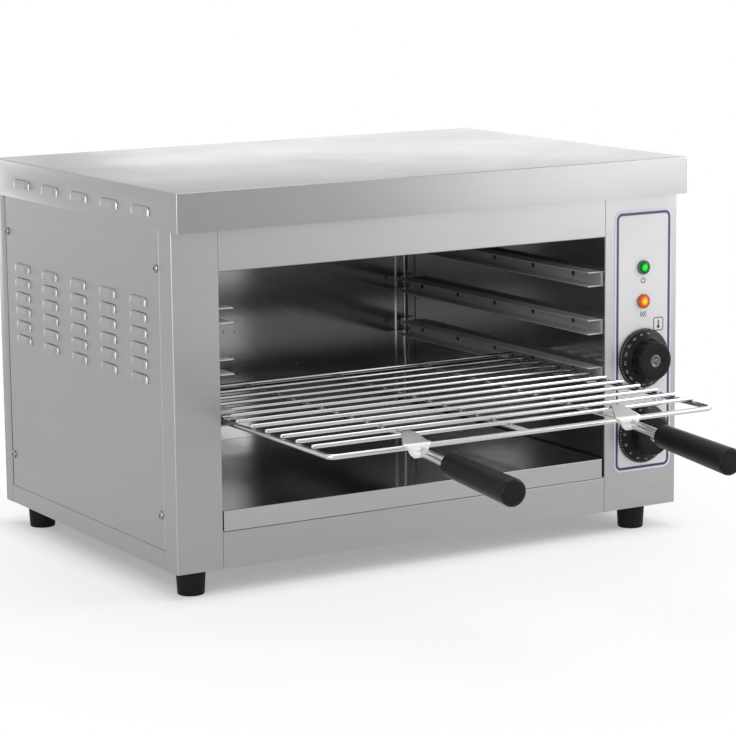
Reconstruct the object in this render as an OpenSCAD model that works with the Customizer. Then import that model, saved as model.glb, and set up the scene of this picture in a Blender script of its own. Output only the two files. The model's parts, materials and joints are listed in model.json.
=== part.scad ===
// Countertop cheese melter: a stainless casing with an open front, overhead heating elements,
// a wire rack on three levels of rails, a crumb tray and a control column on the right.
// Body frame: X to the right, Y to the back, Z up, from the casing's front left bottom corner.
// The finished part is moved so that its origin is the centre of its footprint on the worktop.

/* [Casing] */
// Width of the casing
case_w = 580; // [540:5:640]
// Depth of the casing from the front face to the back face
case_d = 396; // [380:1:440]
// Height of the casing from its underside to the top of the lid
case_h = 362; // [356:1:380]
// Thickness of the stainless sheet
sheet = 1; // [0.8:0.1:1.2]
// Width of the plain column left of the opening
post_w = 49; // [44:1:60]
// Width of the control column right of the opening
control_w = 89; // [84:1:100]
// Height of the lid's skirt
lid_h = 37.5; // [36:0.5:44]
// How far the lid overhangs the front face
lid_front = 16; // [8:1:24]
// Height of the panel below the opening
bottom_h = 36; // [34:1:37]
// Height of the opening's top edge above the casing's underside
opening_top = 284; // [280:1:286]

/* [Feet] */
// Height of the rubber feet
foot_h = 25; // [15:1:40]
// Radius of a foot at the casing
foot_top_r = 14.5; // [12:0.5:16]
// Radius of a foot at the worktop
foot_bottom_r = 13; // [10:0.5:14]
// Distance of the left feet from the left side
foot_left = 25; // [22:1:30]
// Distance of the right feet from the right side
foot_right = 40; // [22:1:45]
// Distance of the front feet from the front
foot_front = 22; // [20:1:30]
// Distance of the back feet from the back
foot_back = 34; // [32:1:50]

/* [Louvres] */
// Length of a louvre in the side panels
louvre_l = 32.5; // [20:0.5:40]
// Height of a louvre
louvre_h = 8; // [6:0.5:9]
// How far a louvre's hood stands out
louvre_out = 3.2; // [2:0.1:4]
// Distance between the columns of louvres
louvre_pitch = 66.7; // [50:0.1:68]
// Distance between the rows of louvres
louvre_row = 14.8; // [12:0.1:16]
// Length of a louvre in the lid
lid_louvre_l = 36; // [20:0.5:40]

/* [Rails and rack] */
// Height of the lowest rail above the casing's underside
rail_z = 136; // [130:0.5:138]
// Distance between rail levels
rail_pitch = 49; // [46:1:49]
// Height of a rail
rail_h = 15; // [13:0.5:16]
// Width of a rail's flanges
rail_w = 18; // [14:0.5:20]
// Radius of the rack's frame wire
frame_wire_r = 2.5; // [2:0.1:2.8]
// Radius of the rack's other wires
cross_wire_r = 2; // [1.5:0.1:2.2]
// Width of the rack between its side wires' centres
rack_w = 423.5; // [415:0.5:426]
// Depth of the rack between its front and back wires' centres
rack_d = 360; // [340:1:365]
// How far the rack's front wire stands out of the casing
rack_out = 189; // [160:1:200]
// Distance between cross wires
cross_pitch = 28.6; // [26:0.1:29]
// Number of cross wires
cross_count = 12; // [10:1:12]

/* [Handles] */
// Distance of each handle from the middle of the rack
handle_x = 117; // [100:1:130]
// Downward tilt of the handles
handle_tilt = 4; // [0:0.5:6]
// Length of rod between the bracket and the grip
rod_gap = 46; // [30:1:60]
// Length of a grip
grip_l = 104; // [90:1:120]
// Radius of a grip at its inner end
grip_r_in = 11; // [10:0.5:13]
// Radius of a grip at its outer end
grip_r_out = 12.8; // [10:0.1:14]

/* [Crumb tray] */
// Height of the crumb tray
tray_h = 19; // [15:0.5:22]
// Gap between the tray's front and the control column
tray_gap = 4; // [1:0.5:6]

/* [Controls] */
// Distance of the control axis from the right side
control_in = 42; // [40:0.5:44]
// Height of the thermostat knob
thermostat_z = 156; // [150:1:160]
// Height of the timer knob
timer_z = 78; // [74:1:84]
// Radius of a knob's printed skirt
skirt_r = 31; // [28:0.5:32]
// Radius of a knob's grip
knob_r = 21.5; // [18:0.5:22]
// How far a knob stands out of the panel
knob_h = 23; // [18:0.5:26]
// Height of the green lamp
green_z = 250; // [245:1:260]
// Height of the amber lamp
amber_z = 215; // [205:1:225]
// Radius of a lamp's bezel
bezel_r = 7.3; // [6.8:0.1:8]

/* [Heating] */
// Radius of a heating element's tube
element_r = 3.25; // [3:0.05:4]
// Height of the heating elements above the casing's underside
element_z = 293; // [292:1:296]
// Distance between the legs of an element
element_pitch = 35; // [30:1:36]

/* [Hidden] */
$fn = 48;

// Edges of the opening and the cavity
open_x0 = post_w;
open_x1 = case_w - control_w;
open_mid = (open_x0 + open_x1) / 2;
lid_z = case_h - lid_h;
inner_top = lid_z + 5.5;
seam = 0.3;
floor_z = bottom_h + sheet;
liner_y = case_d - 8;
ceiling_z = lid_z - 13.5;
wall_flange = 14;
corner_flange = 12;
corner_strip = 12;

// Side panels sit between the front columns' returns and the back panel's returns
return_front = 25;
return_back = 18;
side_y0 = return_front + 0.4;
side_y1 = case_d - return_back;
side_z0 = 19.4;
lap = 15;
lap_z0 = 20;
lap_z1 = lid_z - 3;
side_screw_y = [31, case_d - 23];
side_screw_z = [52.5, 288];
rear_screw_x = [40, 200, 380, 540];
base_screw_z = 10;
lid_screw_z = lid_z + 11;

// A louvre's hood is an arc that meets the sheet at its top edge
louvre_arc = (louvre_h * louvre_h + louvre_out * louvre_out) / (2 * louvre_out);
side_louvre_y = 70;
side_louvre_z = 249;
side_louvre_rows = 6;
louvre_columns = 5;
lid_louvre_y = 59;
lid_louvre_z = lid_z + 11.5;
lid_louvre_pitch = 67.7;
back_louvre_l = 50;
back_louvre_x = case_w - 44;

// Rails
rail_y0 = 5;
rail_y1 = liner_y - 13;
rivet_y = [55, 128.5, 202, 275.5, 349];
rivet_r = 1.6;
rivet_head_r = 2.7;

// Rack, with its welds sunk a little into each other
weld = 0.3;
rack_y0 = -rack_out;
rack_y1 = rack_d - rack_out;
rack_x0 = open_mid - rack_w / 2;
rack_x1 = open_mid + rack_w / 2;
rack_z = rail_z + sheet + frame_wire_r + 0.2;
rack_corner = 6.5;
cross_z = rack_z + frame_wire_r + cross_wire_r - weld;
long_z = cross_z - 2 * cross_wire_r + weld;
cross_y0 = rack_y0 + 32;
long_x = [open_mid - 105, open_mid, open_mid + 105];

// Handles
bracket_w = 23;
bracket_t = 1.5;
bracket_y = rack_y0 - frame_wire_r + 0.2;
root_y = bracket_y - bracket_t;
root_z = rack_z - 5;
handle_mid = open_mid - 1.5;
bracket_drop = 10;
rod_r = 2;
rod_spacing = 5.2;
rod_hold = 58;
grip_chamfer = 1.8;

// Controls
control_x = case_w - control_in;
label_t = 0.3;
label_x0 = case_w - 77.5;
label_x1 = case_w - 6;
label_z0 = 39;
label_z1 = 309;
label_r = 9;
shaft_r = 3;
shaft_hole_r = 4.8;
knob_gap = 1.5;
skirt_h = 10;
flutes = 12;
lamp_barrel_r = 6;
run_gap = 0.05;

// Heating
front_legs_y = 52;
rear_legs_y = 225;
turn_left_x = open_x0 + 36;
turn_right_x = open_x1 - 36;
element_end_x = open_x1 + 12;
bush_r = 6;
hanger_x = [turn_left_x + 65, turn_right_x - 65];
shield_x = open_x1 + 21;
bulb_x = open_x1 - 8;
bulb_z = opening_top - 6;

// Terminal block
block_y = 318;
function terminal_x(i) = control_x - 10 + i * 9;

// Crumb tray
tray_z = floor_z + 0.3;
tray_x0 = open_x0 + 0.8;
tray_x1 = open_x1 - tray_gap;
tray_y1 = liner_y - 6;

// Cable gland
gland_x = case_w - 45;
gland_z = 60;
gland_bore_r = 4.5;
gland_thread_r = 8;
gland_out = 16;
gland_in = 9;

// Footprint of the whole part, handles and gland included
front_y = root_y - (rod_gap + grip_l) * cos(handle_tilt) - (grip_r_out - grip_chamfer) * sin(handle_tilt);
back_y = case_d + gland_out;
plan_x = case_w / 2;
plan_y = (front_y + back_y) / 2;

// ---------- helpers ----------

module placed() {
    translate([-plan_x, -plan_y, foot_h]) children();
}

// A block between two values along each axis
module block(x, y, z) {
    translate([x[0], y[0], z[0]]) cube([x[1] - x[0], y[1] - y[0], z[1] - z[0]]);
}

// Copies a left-hand piece of the casing to the right side
module mirror_case() {
    translate([case_w, 0, 0]) mirror([1, 0, 0]) children();
}

// Copies a left-hand piece of the cavity to the right side
module mirror_cavity() {
    translate([2 * open_mid, 0, 0]) mirror([1, 0, 0]) children();
}

// Cylinders that lie along X, along Y from front to back, and along -Y
module rod_x(r, x, y, z) {
    translate([x[0], y, z]) rotate([0, 90, 0]) cylinder(r = r, h = x[1] - x[0]);
}

module rod_y(r, x, y, z) {
    translate([x, y[0], z]) rotate([-90, 0, 0]) cylinder(r = r, h = y[1] - y[0]);
}

// Puts a piece drawn along +Z on the control column, standing out of its front face
module on_control(z) {
    translate([control_x, 0, z]) rotate([90, 0, 0]) children();
}

// Outline of a louvre's hood: across is its stand-out, up is its height
module hood_outline(thin, reach) {
    intersection() {
        translate([louvre_out - louvre_arc, 0]) circle(r = louvre_arc - thin, $fn = 64);
        translate([-reach, 0]) square([reach + louvre_out, louvre_h]);
    }
}

// A louvre at the origin on a sheet whose outer face is X = 0, standing out along -X
module hood(len, thin, reach) {
    translate([0, len / 2 - thin, 0])
        rotate([90, 0, 0])
            linear_extrude(height = len - 2 * thin)
                mirror([1, 0]) hood_outline(thin, reach);
}

// Hoods along a wall in rows and columns; cut = true gives the space inside them
module louvre_bank(len, columns, pitch, rows, cut) {
    for (c = [0 : columns - 1], r = [0 : rows - 1])
        translate([0, c * pitch, -r * louvre_row])
            if (cut) hood(len, 0.8, sheet + 0.1);
            else hood(len, 0, 0);
}

// Pan-head screw: the head stands on Z = 0 and the shank goes down
module pan_screw(shank_r, shank_l) {
    head_r = 4.2;
    head_h = 2.2;
    cross = 1.1;
    difference() {
        union() {
            intersection() {
                translate([0, 0, -3.4]) sphere(r = 5.6, $fn = 48);
                cylinder(r = head_r, h = head_h);
            }
            translate([0, 0, -shank_l]) cylinder(r = shank_r, h = shank_l + 0.1, $fn = 32);
        }
        for (a = [0, 90])
            rotate([0, 0, a])
                translate([-2.3, -cross / 2, head_h - 1.2]) cube([4.6, cross, 2]);
    }
}

module on_left(y, z) {
    translate([0, y, z]) rotate([0, -90, 0]) children();
}

module on_back(x, y, z) {
    translate([x, y, z]) rotate([-90, 0, 0]) children();
}

// ---------- casing ----------

module lid_louvres(cut) {
    translate([-sheet, lid_louvre_y, lid_louvre_z])
        louvre_bank(lid_louvre_l, louvre_columns, lid_louvre_pitch, 1, cut);
}

module lid() {
    color("gainsboro") placed() difference() {
        union() {
            difference() {
                block([-sheet, case_w + sheet], [-lid_front, case_d + sheet], [lid_z, case_h]);
                block([0, case_w], [sheet - lid_front, case_d], [lid_z - 1, case_h - sheet]);
            }
            block([0, case_w], [sheet - lid_front, -0.5], [lid_z, lid_z + sheet]);
            lid_louvres(false);
            mirror_case() lid_louvres(false);
        }
        lid_louvres(true);
        mirror_case() lid_louvres(true);
        for (x = rear_screw_x) rod_y(2.3, x, [case_d - 1, case_d + 2], lid_screw_z);
    }
}

module foot_places() {
    for (x = [foot_left, case_w - foot_right], y = [foot_front, case_d - foot_back])
        translate([x, y, 0]) children();
}

module base_pan() {
    color("gainsboro") placed() difference() {
        union() {
            block([sheet, case_w - sheet], [sheet, case_d - sheet], [0, sheet]);
            for (side = [0, 1]) translate([side * case_w, 0, 0]) mirror([side, 0, 0]) {
                block([0, sheet], [side_y0, side_y1], [0, side_z0 - 0.4]);
                block([sheet, 2 * sheet], [side_y0 + lap + 1, side_y1 - lap - 1], [0, side_z0 + lap]);
            }
            block([60, case_w - 100], [sheet, 2 * sheet], [0, side_z0]);
            block([20, case_w - 20], [case_d - 2 * sheet, case_d - sheet], [0, side_z0]);
        }
        foot_places() translate([0, 0, -1]) cylinder(r = 2.2, h = 4);
        for (x = rear_screw_x) rod_y(2.05, x, [case_d - 3, case_d], base_screw_z);
    }
}

// Return round the casing's corner, and the lap behind the side panel that takes its screws
module corner_return(y0, y1, lap_y0, lap_y1, screw_y) {
    difference() {
        union() {
            block([0, sheet], [y0, y1], [0, inner_top]);
            block([sheet, 2 * sheet], [lap_y0, lap_y1], [lap_z0, lap_z1]);
        }
        for (z = side_screw_z) rod_x(2.05, [-1, 4], screw_y, z);
    }
}

module front_column(w) {
    block([0, w], [0, sheet], [0, lid_z]);
    corner_return(sheet, return_front, return_front - 1, return_front + lap, side_screw_y[0]);
}

module left_front_post() {
    color("silver") placed() front_column(post_w);
}

module control_panel() {
    color("silver") placed() difference() {
        mirror_case() front_column(control_w);
        for (z = [thermostat_z, timer_z]) {
            on_control(z) translate([0, 0, -2]) cylinder(r = shaft_hole_r, h = 4);
            for (s = [-1, 1]) rod_y(2.05, control_x + 14 * s, [-1, 2], z);
        }
        for (z = [green_z, amber_z])
            on_control(z) translate([0, 0, -2]) cylinder(r = lamp_barrel_r + 0.1, h = 4);
    }
}

module top_front_panel() {
    color("silver") placed() {
        block([open_x0 + seam, open_x1 - seam], [0, sheet], [opening_top, lid_z]);
        block([open_x0 + seam, open_x1 - seam], [sheet, 14], [opening_top, opening_top + sheet]);
        block([open_x0 + seam, open_x1 - seam], [sheet, 12], [lid_z - sheet, lid_z]);
    }
}

module bottom_front_panel() {
    color("silver") placed() {
        block([open_x0 + seam, open_x1 - seam], [0, sheet], [0, bottom_h]);
        block([open_x0 + seam, open_x1 - seam], [sheet, 14], [bottom_h - sheet, bottom_h]);
    }
}

module side_louvres(cut) {
    translate([0, side_louvre_y, side_louvre_z])
        louvre_bank(louvre_l, louvre_columns, louvre_pitch, side_louvre_rows, cut);
}

module side_panel() {
    difference() {
        union() {
            block([0, sheet], [side_y0, side_y1 - 0.4], [side_z0, inner_top]);
            side_louvres(false);
        }
        side_louvres(true);
        for (y = side_screw_y, z = side_screw_z) rod_x(2.3, [-1, 2], y, z);
    }
}

module left_side_panel() {
    color("darkgray") placed() side_panel();
}

module right_side_panel() {
    color("darkgray") placed() mirror_case() side_panel();
}

module back_louvres(cut) {
    translate([back_louvre_x, case_d, side_louvre_z])
        rotate([0, 0, -90])
            louvre_bank(back_louvre_l, 1, 0, side_louvre_rows, cut);
}

module back_panel() {
    color("darkgray") placed() difference() {
        union() {
            block([sheet, case_w - sheet], [case_d - sheet, case_d], [0, lid_z + 20]);
            for (side = [0, 1]) translate([side * case_w, 0, 0]) mirror([side, 0, 0])
                corner_return(side_y1, case_d, side_y1 - lap, side_y1 + 1, side_screw_y[1]);
            back_louvres(false);
        }
        back_louvres(true);
        rod_y(gland_thread_r + 0.1, gland_x, [case_d - 3, case_d + 1], gland_z);
        for (x = rear_screw_x) {
            rod_y(2.3, x, [case_d - 3, case_d + 1], base_screw_z);
            rod_y(2.05, x, [case_d - 3, case_d + 1], lid_screw_z);
        }
    }
}

// ---------- cavity ----------

module rivet_holes() {
    for (level = [0 : 2], y = rivet_y)
        rod_x(rivet_r + 0.1, [open_x0 - 3, open_x0 + 3], y, rail_z + level * rail_pitch + rail_h / 2);
}

module cavity_wall() {
    difference() {
        union() {
            block([open_x0 - sheet, open_x0], [sheet, liner_y], [sheet, ceiling_z]);
            block([open_x0 - wall_flange, open_x0 - sheet], [sheet, 2 * sheet], [sheet, ceiling_z]);
            block([open_x0 - wall_flange, open_x0 - sheet], [sheet, liner_y], [sheet, 2 * sheet]);
            block([open_x0 - corner_flange, open_x0 - sheet], [liner_y - sheet, liner_y], [floor_z, ceiling_z]);
        }
        rivet_holes();
    }
}

module left_cavity_wall() {
    color("dimgray") placed() cavity_wall();
}

module right_cavity_wall() {
    color("dimgray") placed() difference() {
        mirror_cavity() cavity_wall();
        for (y0 = [front_legs_y, rear_legs_y], leg = [0, 3])
            rod_x(element_r + 1.8, [open_x1 - 1, open_x1 + 2], y0 + leg * element_pitch, element_z);
        rod_x(1.4, [open_x1 - 1, open_x1 + 2], 70, bulb_z);
    }
}

module rear_cavity_wall() {
    color("dimgray") placed() {
        block([open_x0 - corner_flange, open_x1 + corner_flange], [liner_y, liner_y + sheet],
            [floor_z, ceiling_z]);
        for (x = [open_x0, open_x1 - corner_strip])
            block([x, x + corner_strip], [liner_y - sheet, liner_y], [floor_z, ceiling_z]);
    }
}

module cavity_floor() {
    color("dimgray") placed()
        block([open_x0, open_x1], [0.4, liner_y + sheet], [floor_z - sheet, floor_z]);
}

module heat_reflector() {
    color("gray") placed() {
        block([open_x0 - 15, open_x1 + 15], [2.2, liner_y + sheet], [ceiling_z, ceiling_z + sheet]);
        block([open_x0 + seam, open_x1 - seam], [15, 16], [opening_top + 6, ceiling_z]);
    }
}

// C-shaped rail, open towards the middle of the cavity
module rail(level) {
    z0 = rail_z + level * rail_pitch;
    difference() {
        block([open_x0, open_x0 + rail_w], [rail_y0, rail_y1], [z0, z0 + rail_h]);
        block([open_x0 + sheet, open_x0 + rail_w + 1], [rail_y0 - 1, rail_y1 + 1],
            [z0 + sheet, z0 + rail_h - sheet]);
        rivet_holes();
    }
}

module left_lower_rail() { color("lightgray") placed() rail(0); }

module left_middle_rail() { color("lightgray") placed() rail(1); }

module left_upper_rail() { color("lightgray") placed() rail(2); }

module right_lower_rail() { color("lightgray") placed() mirror_cavity() rail(0); }

module right_middle_rail() { color("lightgray") placed() mirror_cavity() rail(1); }

module right_upper_rail() { color("lightgray") placed() mirror_cavity() rail(2); }

// Blind rivet along X: domed head in the rail, tail behind the wall
module rivet() {
    rotate([0, 90, 0]) rotate_extrude()
        polygon([[0, -3.4], [rivet_r + 0.6, -3.4], [rivet_r + 0.6, -2.05], [rivet_r, -2.05],
            [rivet_r, 0], [rivet_head_r, 0], [2.3, 0.7], [1.3, 1.2], [0, 1.3]]);
}

module rivet_rows() {
    for (level = [0 : 2], y = rivet_y)
        translate([open_x0 + sheet, y, rail_z + level * rail_pitch + rail_h / 2]) rivet();
}

module rail_rivets() {
    color("white") placed() {
        rivet_rows();
        mirror_cavity() rivet_rows();
    }
}

module top_insulation() {
    color("khaki") placed()
        block([open_x0 + 11, open_x1 - 11], [20, liner_y - 8], [ceiling_z + sheet, ceiling_z + 19]);
}

module heat_shield() {
    color("gray") placed() {
        difference() {
            block([shield_x, shield_x + sheet], [3, liner_y - 1], [sheet, ceiling_z + 10]);
            block([shield_x - 1, shield_x + 2], [40, rear_legs_y + 115], [272, 308]);
        }
        block([shield_x + sheet, shield_x + 9], [3, 290], [sheet, 2 * sheet]);
    }
}

// ---------- heating ----------

// Half turn that joins two legs of an element
module element_turn(x, y, side) {
    translate([x, y + element_pitch / 2, 0])
        rotate([0, 0, side > 0 ? -90 : 90])
            rotate_extrude(angle = 180) translate([element_pitch / 2, 0]) circle(r = element_r);
}

// Four legs joined to a W, with both ends through the right wall
module heating_element(y0) {
    end_x = element_end_x - turn_left_x;
    right_x = turn_right_x - turn_left_x;
    translate([turn_left_x, y0, element_z]) {
        for (leg = [0 : 3])
            rod_x(element_r, [0, leg == 0 || leg == 3 ? end_x : right_x], leg * element_pitch, 0);
        element_turn(0, 0, -1);
        element_turn(0, 2 * element_pitch, -1);
        element_turn(right_x, element_pitch, 1);
        for (leg = [0, 3]) rod_x(1.5, [end_x, end_x + 16], leg * element_pitch, 0);
    }
}

module front_heating_element() {
    color("darkolivegreen") placed() heating_element(front_legs_y);
}

module rear_heating_element() {
    color("darkolivegreen") placed() heating_element(rear_legs_y);
}

// Comb plates that hang the elements under the reflector
module element_hangers() {
    color("lightgray") placed()
        for (x = hanger_x, y0 = [front_legs_y, rear_legs_y]) {
            difference() {
                block([x, x + 1.2], [y0 - 9, y0 + 3 * element_pitch + 9], [element_z - 6, ceiling_z]);
                for (leg = [0 : 3])
                    rod_x(element_r + 0.1, [x - 1, x + 3], y0 + leg * element_pitch, element_z);
            }
            block([x + 1.2, x + 12], [y0 - 9, y0 + 3 * element_pitch + 9], [ceiling_z - 1.2, ceiling_z]);
        }
}

// Ceramic bushes that carry the element ends through the hot wall
module element_bushes() {
    color("ivory") placed()
        for (y0 = [front_legs_y, rear_legs_y], leg = [0, 3])
            difference() {
                union() {
                    rod_x(element_r + 1.7, [open_x1 - 2, open_x1 + 1.1], y0 + leg * element_pitch, element_z);
                    rod_x(bush_r, [open_x1 + 1, open_x1 + 9], y0 + leg * element_pitch, element_z);
                }
                rod_x(element_r + 0.1, [open_x1 - 3, open_x1 + 10], y0 + leg * element_pitch, element_z);
            }
}

// ---------- controls ----------

// Control behind the panel: mounting plate, case and bush with a running bore for the shaft
module control_body(z, w, h, d) {
    difference() {
        union() {
            block([control_x - 22, control_x + 22], [sheet, 2 * sheet], [z - 14, z + 14]);
            block([control_x - w / 2, control_x + w / 2], [2 * sheet, d], [z - h / 2, z + h / 2]);
            on_control(z) translate([0, 0, -sheet]) cylinder(r = shaft_hole_r - 0.2, h = 2 * sheet);
        }
        on_control(z) translate([0, 0, -20.5]) cylinder(r = shaft_r + run_gap, h = 25);
        for (s = [-1, 1]) rod_y(2.05, control_x + 14 * s, [0, 10], z);
    }
}

module thermostat_body() {
    color("white") placed() control_body(thermostat_z, 36, 34, 34);
}

module timer_body() {
    color("whitesmoke") placed() control_body(timer_z, 36, 42, 38);
}

// Bent wire: straight lengths along the axes, joined by quarter bends
module bent_wire(points, r, bend) {
    last = len(points) - 1;
    for (i = [0 : last - 1]) {
        span = norm(points[i + 1] - points[i]);
        d = (points[i + 1] - points[i]) / span;
        start = i == 0 ? 0 : bend;
        stop = i == last - 1 ? 0 : bend;
        translate(points[i] + start * d)
            rotate([0, acos(d[2]), atan2(d[1], d[0])])
                cylinder(r = r, h = span - start - stop);
    }
    for (i = [1 : last - 1]) {
        d = (points[i] - points[i - 1]) / norm(points[i] - points[i - 1]);
        e = (points[i + 1] - points[i]) / norm(points[i + 1] - points[i]);
        n = cross(d, e);
        c = points[i] - bend * d + bend * e;
        multmatrix([[-e[0], d[0], n[0], c[0]], [-e[1], d[1], n[1], c[1]], [-e[2], d[2], n[2], c[2]]])
            rotate_extrude(angle = 90) translate([bend, 0]) circle(r = r);
    }
}

// Liquid-filled bulb on the cavity wall and its capillary to the thermostat
module thermostat_bulb() {
    color("peru") placed() {
        rod_y(3, bulb_x, [85, 165], bulb_z);
        bent_wire([[bulb_x, 85, bulb_z], [bulb_x, 70, bulb_z], [control_x - 13, 70, bulb_z],
            [control_x - 13, 70, thermostat_z + 12], [control_x - 13, 34, thermostat_z + 12]], 0.9, 5);
    }
}

module lamp_body(z) {
    difference() {
        union() {
            on_control(z) translate([0, 0, label_t]) cylinder(r = bezel_r, h = 2);
            on_control(z) translate([0, 0, -24]) cylinder(r = lamp_barrel_r, h = 24.5);
        }
        on_control(z) translate([0, 0, 0.8]) cylinder(r = lamp_barrel_r, h = 3);
    }
}

// Domed lens, set into the bezel
module lamp_lens(z) {
    on_control(z) {
        translate([0, 0, 0.85]) cylinder(r = lamp_barrel_r - 0.1, h = 1.45);
        intersection() {
            translate([0, 0, -7.2]) sphere(r = 11.2, $fn = 64);
            translate([0, 0, 2.2]) cylinder(r = lamp_barrel_r - 0.1, h = 3);
        }
    }
}

module green_lamp_body() { color("darkgreen") placed() lamp_body(green_z); }

module green_lamp_lens() { color("limegreen") placed() lamp_lens(green_z); }

module amber_lamp_body() { color("firebrick") placed() lamp_body(amber_z); }

module amber_lamp_lens() { color("orange") placed() lamp_lens(amber_z); }

module lamp_nuts() {
    color("lightgray") placed()
        for (z = [green_z, amber_z])
            on_control(z) translate([0, 0, -sheet - 3]) difference() {
                cylinder(r = 9, h = 3, $fn = 6);
                translate([0, 0, -1]) cylinder(r = lamp_barrel_r + 0.05, h = 5);
            }
}

// Printed plastic film with rounded corners, stuck to the control column
module control_label() {
    color("lavender") placed() difference() {
        translate([0, 0, 0]) rotate([90, 0, 0]) linear_extrude(height = label_t) {
            translate([label_x0 + label_r, label_z0])
                square([label_x1 - label_x0 - 2 * label_r, label_z1 - label_z0]);
            translate([label_x0, label_z0 + label_r])
                square([label_x1 - label_x0, label_z1 - label_z0 - 2 * label_r]);
            for (x = [label_x0 + label_r, label_x1 - label_r], z = [label_z0 + label_r, label_z1 - label_r])
                translate([x, z]) circle(r = label_r);
        }
        for (z = [thermostat_z, timer_z]) rod_y(19, control_x, [-2, 1], z);
        for (z = [green_z, amber_z]) rod_y(lamp_barrel_r + 0.1, control_x, [-2, 1], z);
    }
}

module control_screws() {
    color("lightgray") placed()
        for (z = [thermostat_z, timer_z], s = [-1, 1]) {
            rod_y(3.5, control_x + 14 * s, [-0.8, 0], z);
            rod_y(2, control_x + 14 * s, [-0.1, 7], z);
        }
}

module shaft(z) {
    on_control(z) translate([0, 0, -20]) difference() {
        cylinder(r = shaft_r, h = 20 + knob_h - 5);
        translate([0, 0, 26]) cylinder(r = 1.5, h = 20);
    }
}

// Knob with a sloping printed skirt, a fluted grip and a recess for its screw
module knob(z) {
    on_control(z) difference() {
        rotate_extrude($fn = 96) polygon([[0, knob_gap], [skirt_r, knob_gap], [skirt_r, 3],
            [knob_r + 1, skirt_h - 0.5], [knob_r, skirt_h], [knob_r - 1, knob_h - 2],
            [knob_r - 2.5, knob_h], [0, knob_h]]);
        for (a = [0 : 360 / flutes : 359])
            rotate([0, 0, a]) translate([knob_r + 3.2, 0, skirt_h + 0.5]) cylinder(r = 5, h = 20, $fn = 32);
        translate([0, 0, knob_gap - 1]) cylinder(r = shaft_r + run_gap, h = knob_h - 4 - knob_gap);
        cylinder(r = 1.6, h = knob_h);
        translate([0, 0, knob_h - 1.5]) cylinder(r = 6.7, h = 2);
        translate([9.6, 0, knob_h - 0.8]) cylinder(r = 1.5, h = 2, $fn = 24);
    }
}

// Screw in the middle of the knob, with two holes for a pin spanner
module knob_screw(z) {
    on_control(z) difference() {
        union() {
            translate([0, 0, knob_h - 1.5]) cylinder(r = 6.5, h = 1.4);
            translate([0, 0, 8]) cylinder(r = 1.45, h = knob_h - 9.4, $fn = 24);
        }
        for (side = [-1, 1])
            translate([0, 3.1 * side, knob_h - 1]) cylinder(r = 1.2, h = 2, $fn = 24);
    }
}

module thermostat_shaft() { color("lightgray") placed() shaft(thermostat_z); }

module thermostat_knob() { color([0.12, 0.12, 0.12]) placed() knob(thermostat_z); }

module thermostat_knob_screw() { color("silver") placed() knob_screw(thermostat_z); }

module timer_shaft() { color("lightgray") placed() shaft(timer_z); }

module timer_knob() { color([0.12, 0.12, 0.12]) placed() knob(timer_z); }

module timer_knob_screw() { color("silver") placed() knob_screw(timer_z); }

// ---------- wiring and supply ----------

module terminal_block() {
    color("beige") placed() difference() {
        block([control_x - 16, control_x + 24], [block_y, block_y + 22], [sheet, 19]);
        for (i = [0 : 3])
            translate([terminal_x(i), block_y + 11, 12]) cylinder(r = 2.5, h = 8, $fn = 24);
    }
}

// Leads from the terminal block to the controls, the lamps and the elements
module wiring_loom() {
    lead_r = 1.1;
    bend = 5;
    end_x = element_end_x + 16;
    y = block_y + 11;
    color("firebrick") placed() {
        bent_wire([[terminal_x(0), y, 13], [terminal_x(0), y, thermostat_z - 6],
            [terminal_x(0), 34, thermostat_z - 6]], lead_r, bend);
        bent_wire([[terminal_x(1), y, 13], [terminal_x(1), y, timer_z], [terminal_x(1), 38, timer_z]],
            lead_r, bend);
        bent_wire([[terminal_x(2), y, 13], [terminal_x(2), y, amber_z], [terminal_x(2), 40, amber_z],
            [control_x - 2, 40, amber_z], [control_x - 2, 24, amber_z]], lead_r, 4.5);
        bent_wire([[terminal_x(3), y, 13], [terminal_x(3), y, green_z], [terminal_x(3), 44, green_z],
            [control_x, 44, green_z], [control_x, 24, green_z]], lead_r, bend);
        bent_wire([[control_x + 12, 34, thermostat_z + 6], [control_x + 12, front_legs_y, thermostat_z + 6],
            [control_x + 12, front_legs_y, element_z], [end_x, front_legs_y, element_z]], lead_r, bend);
        bent_wire([[control_x - 5, 34, thermostat_z + 6],
            [control_x - 5, rear_legs_y + 3 * element_pitch, thermostat_z + 6],
            [control_x - 5, rear_legs_y + 3 * element_pitch, element_z],
            [end_x, rear_legs_y + 3 * element_pitch, element_z]], lead_r, bend);
        bent_wire([[end_x, front_legs_y + 3 * element_pitch, element_z],
            [end_x + 7, front_legs_y + 3 * element_pitch, element_z],
            [end_x + 7, rear_legs_y, element_z], [end_x, rear_legs_y, element_z]], lead_r, bend);
    }
}

// Gland in the back panel: nut inside, collar and dome outside, cable bore right through
module cable_gland() {
    color([0.15, 0.15, 0.15]) placed() difference() {
        union() {
            rod_y(gland_thread_r, gland_x, [case_d - gland_in, case_d + 1], gland_z);
            on_back(gland_x, case_d - sheet - 5, gland_z) cylinder(r = 12, h = 5, $fn = 6);
            on_back(gland_x, case_d, gland_z) cylinder(r = 12, h = 5, $fn = 6);
            rod_y(10, gland_x, [case_d + 4.9, case_d + gland_out - 2], gland_z);
            on_back(gland_x, case_d + gland_out - 2, gland_z) cylinder(r1 = 10, r2 = 8, h = 2);
        }
        rod_y(gland_bore_r, gland_x, [case_d - gland_in - 1, case_d + gland_out + 1], gland_z);
    }
}

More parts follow.
